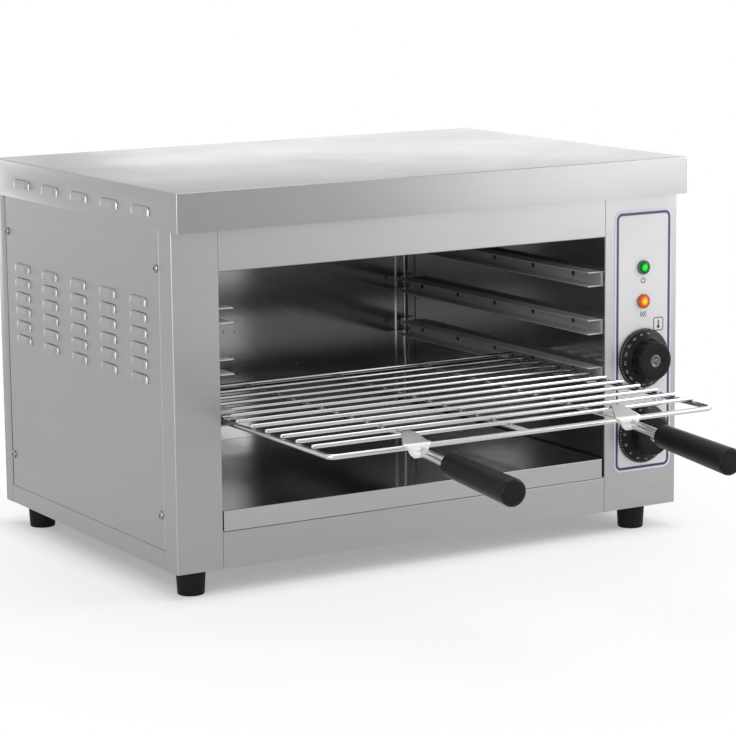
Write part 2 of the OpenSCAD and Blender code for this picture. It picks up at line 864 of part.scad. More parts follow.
module casing_screws() {
    color("white") placed() {
        for (side = [0, 1]) translate([side * case_w, 0, 0]) mirror([side, 0, 0])
            for (y = side_screw_y, z = side_screw_z) on_left(y, z) pan_screw(2, 7);
        for (x = rear_screw_x) {
            on_back(x, case_d, base_screw_z) pan_screw(2, 7);
            on_back(x, case_d + sheet, lid_screw_z) pan_screw(2, 7);
        }
    }
}

// ---------- feet ----------

module foot(x, y) {
    translate([x, y, -foot_h]) difference() {
        rotate_extrude($fn = 64) polygon([[0, 0], [foot_bottom_r - 1.5, 0], [foot_bottom_r, 1.5],
            [foot_top_r, foot_h], [0, foot_h]]);
        translate([0, 0, -1]) cylinder(r = 2.2, h = foot_h + 2);
        translate([0, 0, -1]) cylinder(r = 6, h = 9);
    }
}

module front_left_foot() {
    color([0.1, 0.1, 0.1]) placed() foot(foot_left, foot_front);
}

module front_right_foot() {
    color([0.1, 0.1, 0.1]) placed() foot(case_w - foot_right, foot_front);
}

module back_left_foot() {
    color([0.1, 0.1, 0.1]) placed() foot(foot_left, case_d - foot_back);
}

module back_right_foot() {
    color([0.1, 0.1, 0.1]) placed() foot(case_w - foot_right, case_d - foot_back);
}

// Screws up through the feet, each with its nut inside the base pan
module foot_screws() {
    color("lightgray") placed() foot_places() {
        translate([0, 0, 5.5 - foot_h]) cylinder(r = 4.2, h = 2.5);
        translate([0, 0, 7.9 - foot_h]) cylinder(r = 2, h = foot_h - 7.9 + 6, $fn = 32);
        translate([0, 0, sheet]) difference() {
            cylinder(r = 4, h = 3.2, $fn = 6);
            translate([0, 0, -1]) cylinder(r = 2.05, h = 6, $fn = 32);
        }
    }
}

// ---------- crumb tray ----------

module crumb_tray() {
    color("silver") placed() {
        difference() {
            block([tray_x0, tray_x1], [-sheet, tray_y1], [tray_z, tray_z + tray_h]);
            block([tray_x0 + sheet, tray_x1 - sheet], [0, tray_y1 - sheet],
                [tray_z + sheet, tray_z + tray_h + 1]);
        }
        block([tray_x0, tray_x1], [0, 1.4], [tray_z + tray_h - 1, tray_z + tray_h]);
        block([tray_x0, tray_x1], [-sheet, 0], [bottom_h + 0.4, tray_z]);
    }
}

// ---------- rack ----------

module rack_corner_at(x, y, turn) {
    translate([x, y, rack_z]) rotate([0, 0, turn])
        rotate_extrude(angle = 90) translate([rack_corner, 0]) circle(r = frame_wire_r);
}

module rack_frame() {
    inset = rack_corner;
    color("whitesmoke") placed() {
        for (y = [rack_y0, rack_y1]) rod_x(frame_wire_r, [rack_x0 + inset, rack_x1 - inset], y, rack_z);
        for (x = [rack_x0, rack_x1]) rod_y(frame_wire_r, x, [rack_y0 + inset, rack_y1 - inset], rack_z);
        rack_corner_at(rack_x1 - inset, rack_y1 - inset, 0);
        rack_corner_at(rack_x0 + inset, rack_y1 - inset, 90);
        rack_corner_at(rack_x0 + inset, rack_y0 + inset, 180);
        rack_corner_at(rack_x1 - inset, rack_y0 + inset, 270);
    }
}

module rack_cross_wires() {
    color("whitesmoke") placed()
        for (i = [0 : cross_count - 1])
            rod_x(cross_wire_r, [rack_x0 - 1, rack_x1 + 1], cross_y0 + i * cross_pitch, cross_z);
}

module rack_long_wires() {
    color("whitesmoke") placed()
        for (x = long_x)
            rod_y(cross_wire_r, x, [rack_y0 + frame_wire_r - weld, rack_y1 - frame_wire_r + weld], long_z);
}

// Puts a piece drawn along +Z on a handle's tilted axis; +Y of the piece points up
module on_handle(side) {
    translate([handle_mid + side * handle_x, root_y, root_z]) rotate([90 + handle_tilt, 0, 0]) children();
}

// Bracket welded over the last cross wire and the front wire, with two rods for the grip
module handle_stem(side) {
    top = cross_z + cross_wire_r - 0.1;
    hook_z = rack_z + frame_wire_r + 0.2;
    translate([handle_mid + side * handle_x - bracket_w / 2 - 3, 0, 0])
        rotate([90, 0, 90]) linear_extrude(height = bracket_w)
            polygon([[cross_y0 + 3, top], [cross_y0 + 3, top + bracket_t],
                [cross_y0 - 6, top + bracket_t], [rack_y0 - 1, hook_z + bracket_t],
                [root_y, hook_z - 0.5], [root_y, rack_z - bracket_drop], [bracket_y, rack_z - bracket_drop],
                [bracket_y, hook_z - 1], [rack_y0 - 1, hook_z], [cross_y0 - 6, top]]);
    on_handle(side)
        for (s = [-1, 1])
            translate([0, s * rod_spacing / 2, -bracket_t / 2])
                cylinder(r = rod_r, h = rod_gap + rod_hold + bracket_t / 2);
}

module grip(side) {
    on_handle(side) difference() {
        rotate_extrude($fn = 64) polygon([[0, rod_gap], [grip_r_in - grip_chamfer, rod_gap],
            [grip_r_in, rod_gap + grip_chamfer], [grip_r_out, rod_gap + grip_l - grip_chamfer],
            [grip_r_out - grip_chamfer, rod_gap + grip_l], [0, rod_gap + grip_l]]);
        for (s = [-1, 1])
            translate([0, s * rod_spacing / 2, 0])
                cylinder(r = rod_r + 0.05, h = rod_gap + rod_hold + 1);
    }
}

module left_handle_stem() { color("silver") placed() handle_stem(-1); }

module right_handle_stem() { color("silver") placed() handle_stem(1); }

module left_grip() { color([0.1, 0.1, 0.1]) placed() grip(-1); }

module right_grip() { color([0.1, 0.1, 0.1]) placed() grip(1); }

lid();
base_pan();
left_front_post();
control_panel();
top_front_panel();
bottom_front_panel();
left_side_panel();
right_side_panel();
back_panel();
left_cavity_wall();
right_cavity_wall();
rear_cavity_wall();
cavity_floor();
heat_reflector();
left_lower_rail();
left_middle_rail();
left_upper_rail();
right_lower_rail();
right_middle_rail();
right_upper_rail();
rail_rivets();
top_insulation();
heat_shield();
front_heating_element();
rear_heating_element();
element_hangers();
element_bushes();
thermostat_body();
thermostat_bulb();
timer_body();
green_lamp_body();
green_lamp_lens();
amber_lamp_body();
amber_lamp_lens();
lamp_nuts();
control_label();
terminal_block();
wiring_loom();
cable_gland();
casing_screws();
control_screws();
front_left_foot();
front_right_foot();
back_left_foot();
back_right_foot();
foot_screws();
thermostat_shaft();
thermostat_knob();
thermostat_knob_screw();
timer_shaft();
timer_knob();
timer_knob_screw();
crumb_tray();
rack_frame();
rack_cross_wires();
rack_long_wires();
left_handle_stem();
right_handle_stem();
left_grip();
right_grip();
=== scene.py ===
"""Countertop cheese melter: steel casing, open cavity, sliding wire rack, crumb tray, two knobs."""
import json
import math

import bmesh
import bpy
from mathutils import Matrix, Vector

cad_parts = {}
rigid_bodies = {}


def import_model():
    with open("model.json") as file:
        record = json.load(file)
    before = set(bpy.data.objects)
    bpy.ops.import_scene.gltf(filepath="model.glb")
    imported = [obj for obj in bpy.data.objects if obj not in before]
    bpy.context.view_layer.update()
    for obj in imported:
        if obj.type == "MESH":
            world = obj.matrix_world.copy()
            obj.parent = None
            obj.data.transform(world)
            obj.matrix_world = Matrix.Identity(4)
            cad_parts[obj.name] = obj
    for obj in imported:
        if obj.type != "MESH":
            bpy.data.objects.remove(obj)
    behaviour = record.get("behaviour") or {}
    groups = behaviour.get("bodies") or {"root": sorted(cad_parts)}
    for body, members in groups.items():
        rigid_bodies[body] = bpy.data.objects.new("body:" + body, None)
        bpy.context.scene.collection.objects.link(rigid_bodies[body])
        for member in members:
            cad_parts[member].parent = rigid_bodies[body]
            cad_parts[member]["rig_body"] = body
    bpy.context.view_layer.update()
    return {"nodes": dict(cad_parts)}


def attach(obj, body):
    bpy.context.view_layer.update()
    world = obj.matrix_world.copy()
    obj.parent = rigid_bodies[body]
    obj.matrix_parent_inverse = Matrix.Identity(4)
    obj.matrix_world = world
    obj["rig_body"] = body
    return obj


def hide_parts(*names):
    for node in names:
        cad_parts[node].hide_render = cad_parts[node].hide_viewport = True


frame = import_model()
SCENE = bpy.context.scene


# ---------- driving dimensions, in casing millimetres ----------
# x runs right, y back and z up, all from the casing's front left bottom corner.

WIDE, DEEP = 580, 396
FOOT_HIGH = 25
FRAME_BACK = 34.399                     # from the casing's front to the frame's origin
LID_LOW, LID_TOP = 324.5, 362
BACK_TOP = 344.5
CAVITY_LEFT, CAVITY_RIGHT, CAVITY_BACK = 49, 491, 387
RAIL_PITCH = 49
LOUVRE_HIGH, LOUVRE_OUT, LOUVRE_END, LOUVRE_RISE = 8, 2.6, 6.0, 14.8
KNOB_X, THERMOSTAT_Z, TIMER_Z = 538, 156, 78
GREEN_LAMP_Z, AMBER_LAMP_Z = 250, 215
LABEL_LOW, LABEL_HIGH = (502.5, 39), (574, 309)
RACK_LEFT, RACK_RIGHT, RACK_FRONT, RACK_BACK, RACK_Z = 58.25, 481.75, -189, 171, 139.7
HANDLE_X, HANDLE_Y, HANDLE_Z = {"left": 151.5, "right": 385.5}, -192.8, 134.7
NAVY = (0.018, 0.014, 0.075)


def place(x, y, z):
    """A spot in casing millimetres, in the frame's metres."""
    return Vector((x - WIDE / 2, y - FRAME_BACK, z + FOOT_HIGH)) / 1000


def mm(*sizes):
    """Millimetres to metres: one number, or several as a vector."""
    return Vector(sizes) / 1000 if len(sizes) > 1 else sizes[0] / 1000


# ---------- node trees ----------

class Value:
    """The output of a node, which can be used in a Python sum."""

    def __init__(self, graph, socket):
        self.graph, self.socket = graph, socket

    def out(self, key):
        return Value(self.graph, self.socket.node.outputs[key])

    def math(self, operation, *others, clamp=False):
        return self.graph.math(operation, self, *others, clamp=clamp)

    def __add__(self, other): return self.math("ADD", other)
    def __sub__(self, other): return self.math("SUBTRACT", other)
    def __mul__(self, other): return self.math("MULTIPLY", other)
    def __truediv__(self, other): return self.math("DIVIDE", other)
    def __pow__(self, other): return self.math("POWER", other)
    def __rsub__(self, other): return self.graph.math("SUBTRACT", other, self)
    def __neg__(self): return self * -1.0
    def __abs__(self): return self.math("ABSOLUTE")
    def __gt__(self, other): return self.math("GREATER_THAN", other)

    def clamped(self):
        return self.math("ADD", 0.0, clamp=True)

    def ramp(self, start, end):
        """0 at start, 1 at end, straight between."""
        return ((self - start) / (end - start)).clamped()


class Graph:
    """A node tree that is filled by code."""

    def __init__(self, tree):
        self.tree = tree

    def node(self, kind, settings=None, sockets=None, out=0):
        made = self.tree.nodes.new(kind)
        for name, setting in (settings or {}).items():
            setattr(made, name, setting)
        for key, value in (sockets or {}).items():
            if isinstance(value, Value):
                self.tree.links.new(value.socket, made.inputs[key])
            else:
                made.inputs[key].default_value = value
        return Value(self, made.outputs[out])

    def math(self, operation, *terms, clamp=False):
        settings = {"operation": operation, "use_clamp": clamp}
        return self.node("ShaderNodeMath", settings, dict(enumerate(terms)))

    def mix(self, share, first, second):
        """A colour between two colours."""
        ends = {6 + k: c if isinstance(c, Value) else (*c, 1) for k, c in enumerate((first, second))}
        return self.node("ShaderNodeMix", {"data_type": "RGBA"}, {0: share, **ends}, out=2)

    def vector(self, operation, first, second):
        return self.node("ShaderNodeVectorMath", {"operation": operation}, {0: first, 1: second})

    def spot(self, output="Object"):
        return self.node("ShaderNodeTexCoord", out=output)

    def axes(self, vector):
        split = self.node("ShaderNodeSeparateXYZ", None, {0: vector})
        return split, split.out(1), split.out(2)

    def noise(self, vector, scale, detail=2.0, roughness=0.5):
        return self.node("ShaderNodeTexNoise", None, {
            "Vector": vector, "Scale": scale, "Detail": detail, "Roughness": roughness})


def finish(name, build):
    """A material whose surface comes from build(graph)."""
    material = bpy.data.materials.new(name)
    material.use_nodes = True
    material.node_tree.nodes.clear()
    end = material.node_tree.nodes.new("ShaderNodeOutputMaterial")
    material.node_tree.links.new(build(Graph(material.node_tree)).socket, end.inputs["Surface"])
    return material


def surface(graph, colour, roughness, metallic, bump, depth, **fixed):
    """A Principled shader with a bump depth in metres; fixed holds sockets that are the same all over."""
    normal = graph.node("ShaderNodeBump", None, {"Height": bump, "Distance": depth, "Strength": 1.0})
    sockets = {"Base Color": colour, "Roughness": roughness, "Metallic": metallic, "Normal": normal}
    sockets.update({key.replace("_", " "): value for key, value in fixed.items()})
    return graph.node("ShaderNodeBsdfPrincipled", None, sockets)


def shade(tone, factor):
    """A colour made darker or lighter."""
    return tuple(c * factor for c in tone)


def brushed(name, tone, roughness, grain=1.0, smear=0.05, metallic=1.0, painted_side_light=0.0, painted_upward_shade=0.0):
    """Brushed sheet steel: grain along the sheet's length, and along its depth on the sides.

    The sides can be painted lighter, a painted highlight for the light they catch, and what faces up toward the
    elements painted darker, a painted shade for the dark cavity it reflects.
    """
    def build(g):
        spot = g.spot()
        across, _, upward = g.axes(g.spot("Normal"))
        sideways = abs(across) > 0.6
        stretch = g.node("ShaderNodeMix", {"data_type": "VECTOR"},
                         {0: sideways, 4: (0.02, 1.0, 1.0), 5: (1.0, 0.02, 1.0)}, out=1)
        laid = g.vector("MULTIPLY", spot, stretch)
        fine = g.noise(laid, 1700.0, 3.0, 0.6)
        streaks = g.noise(laid, 260.0, 2.0, 0.5)
        hands = g.noise(spot, 9.0, 3.0, 0.6)
        # Painted highlight: faces turned sideways are made lighter here.
        level = ((fine - 0.5) * 0.16 * grain + (streaks - 0.5) * 0.14 * grain
                 + (hands - 0.5) * smear + sideways * painted_side_light + 0.5).clamped()
        colour = g.mix(level, shade(tone, 0.72), shade(tone, 1.28))
        # Painted shade: faces that look up are darkened here.
        if painted_upward_shade:
            colour = g.mix((upward > 0.6) * painted_upward_shade, colour, shade(tone, 0.2))
        rough = (fine - 0.5) * 0.10 * grain + (hands - 0.5) * 0.16 + roughness
        return surface(g, colour, rough, metallic, fine + streaks * 0.6, 0.00002 * grain)
    return finish(name, build)


def darkened(name, tone, roughness, metallic=0.55, mottle=0.9):
    """Liner steel, dulled and mottled by heat and baked-on splashes."""
    def build(g):
        spot = g.spot()
        laid = g.vector("MULTIPLY", spot, (1.0, 0.05, 1.0))
        grain = g.noise(laid, 900.0, 2.0)
        cloud = g.noise(spot, 14.0, 5.0, 0.62)
        specks = g.noise(spot, 230.0, 2.0, 0.7).ramp(0.66, 0.74)
        level = ((cloud - 0.5) * mottle + (grain - 0.5) * 0.2 + 0.5).clamped()
        sheet = g.mix(level, shade(tone, 0.62), shade(tone, 1.38))
        colour = g.mix(specks * 0.5, sheet, shade(tone, 0.3))
        rough = (cloud - 0.5) * 0.3 * mottle + specks * 0.2 + roughness
        return surface(g, colour, rough, metallic, grain + cloud, 0.00004)
    return finish(name, build)


def moulded(name, tone, roughness, texture=1500.0, depth=0.00002, shift=0.25, shine=0.5):
    """Moulded plastic, rubber or ceramic with a fine texture and slight mottling."""
    def build(g):
        spot = g.spot()
        skin = g.noise(spot, texture, 2.0, 0.6)
        cloud = g.noise(spot, 35.0, 3.0)
        level = ((skin - 0.5) * 0.6 + (cloud - 0.5) * 0.8 + 0.5).clamped()
        colour = g.mix(level, shade(tone, 1 - shift), shade(tone, 1 + shift))
        rough = (skin - 0.5) * 0.12 + (cloud - 0.5) * 0.12 + roughness
        return surface(g, colour, rough, 0.0, skin, depth, Specular_IOR_Level=shine)
    return finish(name, build)


def plated(name, tone, roughness, cast):
    """Bright plated wire with fine die lines and a little haze of another cast."""
    def build(g):
        spot = g.spot()
        lines = g.noise(g.vector("MULTIPLY", spot, (0.05, 1.0, 1.0)), 1400.0, 2.0)
        haze = g.noise(spot, 40.0, 3.0, 0.6)
        colour = g.mix(haze.ramp(0.6, 0.85) * 0.35, tone, cast)
        rough = (lines - 0.5) * 0.08 + (haze - 0.5) * 0.12 + roughness
        return surface(g, colour, rough, 1.0, lines, 0.000008)
    return finish(name, build)


def lit_lens(name, core, rim, lamp_z, glow):
    """A coloured lamp lens, brighter in the middle where the neon sits behind it."""
    def build(g):
        x, _, z = g.axes(g.vector("SUBTRACT", g.spot(), tuple(place(KNOB_X, 0, lamp_z))))
        away = ((x * x + z * z) ** 0.5) * 1000.0
        ridges = (away * 9.0).math("SINE") * 0.5 + 0.5
        middle = 1.0 - away.ramp(1.2, 4.4)
        colour = g.mix(middle, rim, core)
        made = surface(g, colour, 0.3, 0.0, ridges, 0.00005, Specular_IOR_Level=0.15)
        sockets = made.socket.node.inputs
        g.tree.links.new(g.mix(middle, shade(rim, 0.4), core).socket, sockets["Emission Color"])
        sockets["Emission Strength"].default_value = glow
        return made
    return finish(name, build)


def printed_film(name, low, high, corner, line_in, line_wide):
    """White label film with a rounded navy line; low and high are its corners, all in millimetres."""
    def build(g):
        spot = g.spot()
        x, _, z = g.axes(spot)
        middle = (place(low[0], 0, low[1]) + place(high[0], 0, high[1])) / 2
        half_x, half_z = mm((high[0] - low[0]) / 2), mm((high[1] - low[1]) / 2)
        past_x, past_z = abs(x - middle.x) - half_x, abs(z - middle.z) - half_z
        in_x = (past_x + mm(corner)).math("MAXIMUM", 0.0)
        in_z = (past_z + mm(corner)).math("MAXIMUM", 0.0)
        rounded = (in_x * in_x + in_z * in_z) ** 0.5 - mm(corner)
        edge = rounded.math("MAXIMUM", past_x.math("MAXIMUM", past_z))
        line = 1.0 - abs(edge + mm(line_in)).ramp(mm(line_wide * 0.42), mm(line_wide * 0.58))
        tint = edge.ramp(mm(-7.0), mm(-2.0))
        haze = g.noise(spot, 25.0, 2.0)
        paper = g.mix(tint * 0.75 + (haze - 0.5) * 0.2, (0.75, 0.74, 0.755), (0.70, 0.66, 0.86))
        colour = g.mix(line, paper, NAVY)
        grain = g.noise(spot, 900.0, 2.0)
        rough = (grain - 0.5) * 0.1 + 0.38
        return surface(g, colour, rough, 0.0, grain, 0.000008, Coat_Weight=0.15)
    return finish(name, build)


def fibre(name, tone):
    """Fibre blanket: long strands over soft lumps."""
    def build(g):
        spot = g.spot()
        strands = g.noise(g.vector("MULTIPLY", spot, (0.15, 1.0, 1.0)), 700.0, 4.0, 0.7)
        lumps = g.noise(spot, 60.0, 3.0)
        colour = g.mix(strands, shade(tone, 0.6), shade(tone, 1.25))
        return surface(g, colour, 0.92, 0.0, strands + lumps * 2.0, 0.0006)
    return finish(name, build)


FRONT_STEEL = brushed("front_steel", (0.335, 0.335, 0.335), 0.34, 0.7)
# The lid's sides are painted lighter, a painted highlight for the light they catch.
LID_STEEL = brushed("lid_steel", (0.285, 0.285, 0.285), 0.34, 0.7, painted_side_light=0.45)
SIDE_STEEL = brushed("side_steel", (0.33, 0.33, 0.33), 0.36, 0.7)
LINER_STEEL = darkened("liner_steel", (0.28, 0.276, 0.273), 0.09, 0.9, 0.12)
RAIL_STEEL = brushed("rail_steel", (0.52, 0.52, 0.52), 0.5, 1.2, 0.2, 0.2)
# The rivets are painted near black, a painted shade for the dark dots where they sit in the rails.
RIVET_PAINTED_SHADE = moulded("rivet_steel", (0.035, 0.035, 0.035), 0.5, 1600.0, 0.00001, 0.3, 0.3)
# The tray's upward faces are painted darker, a painted shade for the dark cavity they reflect.
TRAY_STEEL = brushed("tray_steel", (0.39, 0.39, 0.39), 0.08, 0.3, 0.1, painted_upward_shade=0.62)
BRACKET_STEEL = brushed("bracket_steel", (0.64, 0.64, 0.63), 0.36, 1.6, 1.0, 0.85)
FASTENER_STEEL = brushed("fastener_steel", (0.27, 0.27, 0.27), 0.25, 0.6)
# The knob screws are the casing screws' steel painted darker, a painted shade against the bright light they
# face.
KNOB_SCREW_SHADED = brushed("knob_screw_steel", (0.12, 0.12, 0.12), 0.25, 0.6)
ZINC_STEEL = brushed("zinc_steel", (0.42, 0.43, 0.45), 0.4, 0.6, 0.3)
ELEMENT_SHEATH = darkened("element_sheath", (0.09, 0.085, 0.08), 0.45, 0.8)
INSULATION = fibre("insulation_blanket", (0.62, 0.60, 0.52))
CERAMIC = moulded("ceramic", (0.62, 0.59, 0.52), 0.4, 1200.0, 0.00002, 0.12)
CONTROL_CASE = moulded("control_case", (0.03, 0.03, 0.032), 0.42)
COPPER = brushed("copper", (0.70, 0.36, 0.22), 0.3, 0.5)
GREEN_BEZEL = moulded("green_bezel", (0.004, 0.10, 0.015), 0.25)
AMBER_BEZEL = moulded("amber_bezel", (0.33, 0.045, 0.012), 0.25)
GREEN_LENS = lit_lens("green_lens", (0.01, 0.80, 0.03), (0.0, 0.12, 0.01), GREEN_LAMP_Z, 0.62)
AMBER_LENS = lit_lens("amber_lens", (1.0, 0.52, 0.02), (0.72, 0.10, 0.005), AMBER_LAMP_Z, 0.6)
LABEL_FILM = printed_film("label_film", LABEL_LOW, LABEL_HIGH, 9.0, 3.5, 2.8)
SILICONE = moulded("lead_silicone", (0.42, 0.05, 0.04), 0.5)
GLAND_NYLON = moulded("gland_nylon", (0.025, 0.025, 0.027), 0.4)
FOOT_RUBBER = moulded("foot_rubber", (0.010, 0.010, 0.010), 0.62, 900.0, 0.00004, 0.25, 0.12)
KNOB_PLASTIC = moulded("knob_plastic", (0.0075, 0.0072, 0.007), 0.42, 1600.0, 0.000015, 0.25, 0.12)
GRIP_PLASTIC = moulded("grip_plastic", (0.0075, 0.0072, 0.007), 0.4, 1300.0, 0.00002, 0.25, 0.15)
CHROME_WIRE = plated("chrome_wire", (0.52, 0.52, 0.515), 0.2, (0.40, 0.41, 0.44))
# The handle rods are the rack's plated wire painted lighter, a painted highlight for the bright reflections
# they show.
STEM_WIRE_PAINTED_LIGHT = plated("stem_wire", (0.82, 0.82, 0.81), 0.28, (0.70, 0.71, 0.74))
DIAL_PAINT = moulded("dial_paint", (0.38, 0.375, 0.35), 0.5, 900.0, 0.00001, 0.1)
SIGN_INK = moulded("sign_ink", NAVY, 0.45, 900.0, 0.00001, 0.15)

# The solids come with named material slots; each slot gets one of the finishes above.
CAD_FINISHES = {
    "insulation": INSULATION, "element_sheath": ELEMENT_SHEATH, "ceramic": CERAMIC,
    "control_case": CONTROL_CASE, "copper": COPPER, "lamp_bezel_green": GREEN_BEZEL,
    "lamp_bezel_red": AMBER_BEZEL, "green_lens": GREEN_LENS, "amber_lens": AMBER_LENS,
    "label_film": LABEL_FILM, "lead_silicone": SILICONE, "gland_nylon": GLAND_NYLON,
    "foot_rubber": FOOT_RUBBER, "knob_plastic": KNOB_PLASTIC, "grip_plastic": GRIP_PLASTIC,
    "chrome_wire": CHROME_WIRE, "casing_steel": FRONT_STEEL, "side_steel": SIDE_STEEL,
    "liner_steel": LINER_STEEL, "rail_steel": RAIL_STEEL, "fastener_steel": FASTENER_STEEL,
    "zinc_steel": ZINC_STEEL, "tray_steel": TRAY_STEEL,
}
SLOT_OF = {}
for cad_name, cad_object in frame["nodes"].items():
    SLOT_OF[cad_name] = cad_object.data.materials[0].name.split(".")[0]
    cad_object.data.materials[0] = CAD_FINISHES[SLOT_OF[cad_name]]


# ---------- pieces ----------

def body_of(node):
    """The body that a CAD node belongs to."""
    return frame["nodes"][node]["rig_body"]


def smooth(mesh, angle):
    """Smooth shading, with edges sharper than the angle in degrees kept crisp."""
    mesh.polygons.foreach_set("use_smooth", [True] * len(mesh.polygons))
    mesh.set_sharp_from_angle(angle=math.radians(angle))
    return mesh


def loose(name, mesh, *modifiers):
    """A work object with modifiers, each given as (kind, settings)."""
    made = bpy.data.objects.new(name, mesh)
    SCENE.collection.objects.link(made)
    for kind, settings in modifiers:
        modifier = made.modifiers.new(kind.lower(), kind)
        for key, value in settings.items():
            setattr(modifier, key, value)
    return made


def settled(made):
    """The plain mesh of a work object with its modifiers applied; the work object goes."""
    bpy.context.view_layer.update()
    seen = made.evaluated_get(bpy.context.evaluated_depsgraph_get())
    mesh = bpy.data.meshes.new_from_object(seen)
    bpy.data.objects.remove(made)
    return mesh


def piece(name, mesh, material, body, slot, *nodes):
    """A finished piece of the object: it rides on a body and stands for the CAD nodes named."""
    mesh.materials.clear()
    mesh.materials.append(material)
    mesh.name = name
    made = bpy.data.objects.new(name, mesh)
    SCENE.collection.objects.link(made)
    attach(made, body)
    if nodes:
        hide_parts(*nodes)


def stand_in(name, mesh, material, node):
    """A finished piece that stands for one CAD node, on its body."""
    piece(name, mesh, material, body_of(node), SLOT_OF[node], node)


def fair(mesh, angle):
    """The mesh with smooth shading that leaves its flat faces flat."""
    even = ("WEIGHTED_NORMAL", {"keep_sharp": True, "weight": 80})
    return settled(loose("fair", smooth(mesh, angle), even))


def joined(*meshes):
    """One mesh from several."""
    both = bmesh.new()
    for mesh in meshes:
        both.from_mesh(mesh)
    made = bpy.data.meshes.new("joined")
    both.to_mesh(made)
    both.free()
    return made


def from_bmesh(shape):
    """The mesh of a shape, which is used up."""
    mesh = bpy.data.meshes.new("shape")
    shape.to_mesh(mesh)
    shape.free()
    return mesh


def aimed(origin, direction, up=(0, 0, 1)):
    """A matrix that turns local Z to a direction and local X as near to up as it goes, at an origin."""
    z = Vector(direction).normalized()
    x = (Vector(up) - z * Vector(up).dot(z)).normalized()
    return Matrix.Translation(origin) @ Matrix((x, z.cross(x), z)).transposed().to_4x4()


def slab(x, y, z):
    """A closed box between pairs of casing millimetres."""
    shape = bmesh.new()
    low, high = place(x[0], y[0], z[0]), place(x[1], y[1], z[1])
    bmesh.ops.create_cube(shape, size=1.0)
    for vert in shape.verts:
        vert.co = Vector(h if c > 0 else l for c, l, h in zip(vert.co, low, high))
    return shape


def cube(wide, long, high, matrix=Matrix()):
    """A box of the given millimetres round the origin, moved by a matrix."""
    shape = bmesh.new()
    bmesh.ops.create_cube(shape, size=1.0)
    shape.transform(matrix @ Matrix.Diagonal((mm(wide), mm(long), mm(high), 1)))
    return from_bmesh(shape)


def eased(points, radius, steps=3):
    """A profile with its corners rounded; points and radius in millimetres."""
    line = [Vector(p) for p in points]
    made = [line[0]]
    for before, corner, after in zip(line, line[1:], line[2:]):
        reach = min(radius, (before - corner).length * 0.49, (after - corner).length * 0.49)
        start = corner + (before - corner).normalized() * reach
        end = corner + (after - corner).normalized() * reach
        for k in range(steps + 1):
            t = k / steps
            made.append(start * (1 - t) ** 2 + corner * 2 * t * (1 - t) + end * t * t)
    return made + [line[-1]]


def turned(profile, segments, matrix, cut=None):
    """A shape turned round local Z from (radius, height) millimetres; cut trims the radius."""
    shape = bmesh.new()
    rings = []
    for radius, height in profile:
        if radius < 1e-6:
            rings.append([shape.verts.new((0, 0, mm(height)))])
            continue
        ring = []
        for k in range(segments):
            angle = 2 * math.pi * k / segments
            r = mm(cut(radius, height, angle) if cut else radius)
            ring.append(shape.verts.new((r * math.cos(angle), r * math.sin(angle), mm(height))))
        rings.append(ring)
    for low, high in zip(rings, rings[1:]):
        for k in range(segments):
            here, there = k, k + 1
            corners = [low[here % len(low)], low[there % len(low)],
                       high[there % len(high)], high[here % len(high)]]
            corners = [v for i, v in enumerate(corners) if v not in corners[:i]]
            if len(corners) > 2:
                shape.faces.new(corners)
    bmesh.ops.recalc_face_normals(shape, faces=shape.faces)
    shape.transform(matrix)
    return from_bmesh(shape)


# ---------- Geometry Nodes trees ----------

def tree(name, build, inputs):
    """A Geometry Nodes tree: what build(graph, inputs by name) returns, made real and given its finish."""
    group = bpy.data.node_groups.new(name, "GeometryNodeTree")
    for label, kind in {"Geometry": "Geometry", **inputs, "Finish": "Material"}.items():
        group.interface.new_socket(label, in_out="INPUT", socket_type="NodeSocket" + kind)
    group.interface.new_socket("Geometry", in_out="OUTPUT", socket_type="NodeSocketGeometry")
    graph = Graph(group)
    start = group.nodes.new("NodeGroupInput")
    end = group.nodes.new("NodeGroupOutput")
    given = {socket.name: Value(graph, socket) for socket in start.outputs if socket.name}
    made = graph.node("GeometryNodeRealizeInstances", None, {"Geometry": build(graph, given)})
    made = graph.node("GeometryNodeSetMaterial", None, {"Geometry": made, "Material": given["Finish"]})
    group.links.new(made.socket, end.inputs[0])
    return group


def grown(group, mesh, inputs):
    """The plain mesh that a tree makes from a mesh."""
    made = bpy.data.objects.new("work", mesh)
    SCENE.collection.objects.link(made)
    modifier = made.modifiers.new("tree", "NODES")
    modifier.node_group = group
    for item in group.interface.items_tree:
        if item.in_out == "INPUT" and item.name in inputs:
            modifier[item.identifier] = inputs[item.name]
    return settled(made)


def build_rows(g, given):
    """Copies of the given shape in columns and rows."""
    line = g.node("GeometryNodeMeshLine", {"mode": "OFFSET"},
                  {"Count": given["Columns"], "Start Location": given["Start"], "Offset": given["Step"]})
    stack = g.node("GeometryNodeMeshLine", {"mode": "OFFSET"},
                   {"Count": given["Rows"], "Offset": given["Rise"]})
    spots = g.node("GeometryNodeInstanceOnPoints", None, {"Points": stack, "Instance": line})
    spots = g.node("GeometryNodeRealizeInstances", None, {"Geometry": spots})
    return g.node("GeometryNodeInstanceOnPoints", None,
                  {"Points": spots, "Instance": given["Geometry"], "Rotation": given["Turn"]})


ROWS = tree("rows_and_columns", build_rows, {
    "Columns": "Int", "Rows": "Int", "Start": "Vector", "Step": "Vector", "Rise": "Vector", "Turn": "Vector"})


def build_ring(g, given):
    """Copies of the given shape turned round Z by equal steps."""
    spots = g.node("GeometryNodeMeshLine", {"mode": "OFFSET"}, {"Count": given["Count"], "Offset": (0, 0, 0)})
    turn = g.node("ShaderNodeCombineXYZ", None,
                  {2: g.node("GeometryNodeInputIndex") * given["Step"] + given["First"]})
    return g.node("GeometryNodeInstanceOnPoints", None,
                  {"Points": spots, "Instance": given["Geometry"], "Rotation": turn})


RING = tree("ring_of_marks", build_ring, {"Count": "Int", "First": "Float", "Step": "Float"})


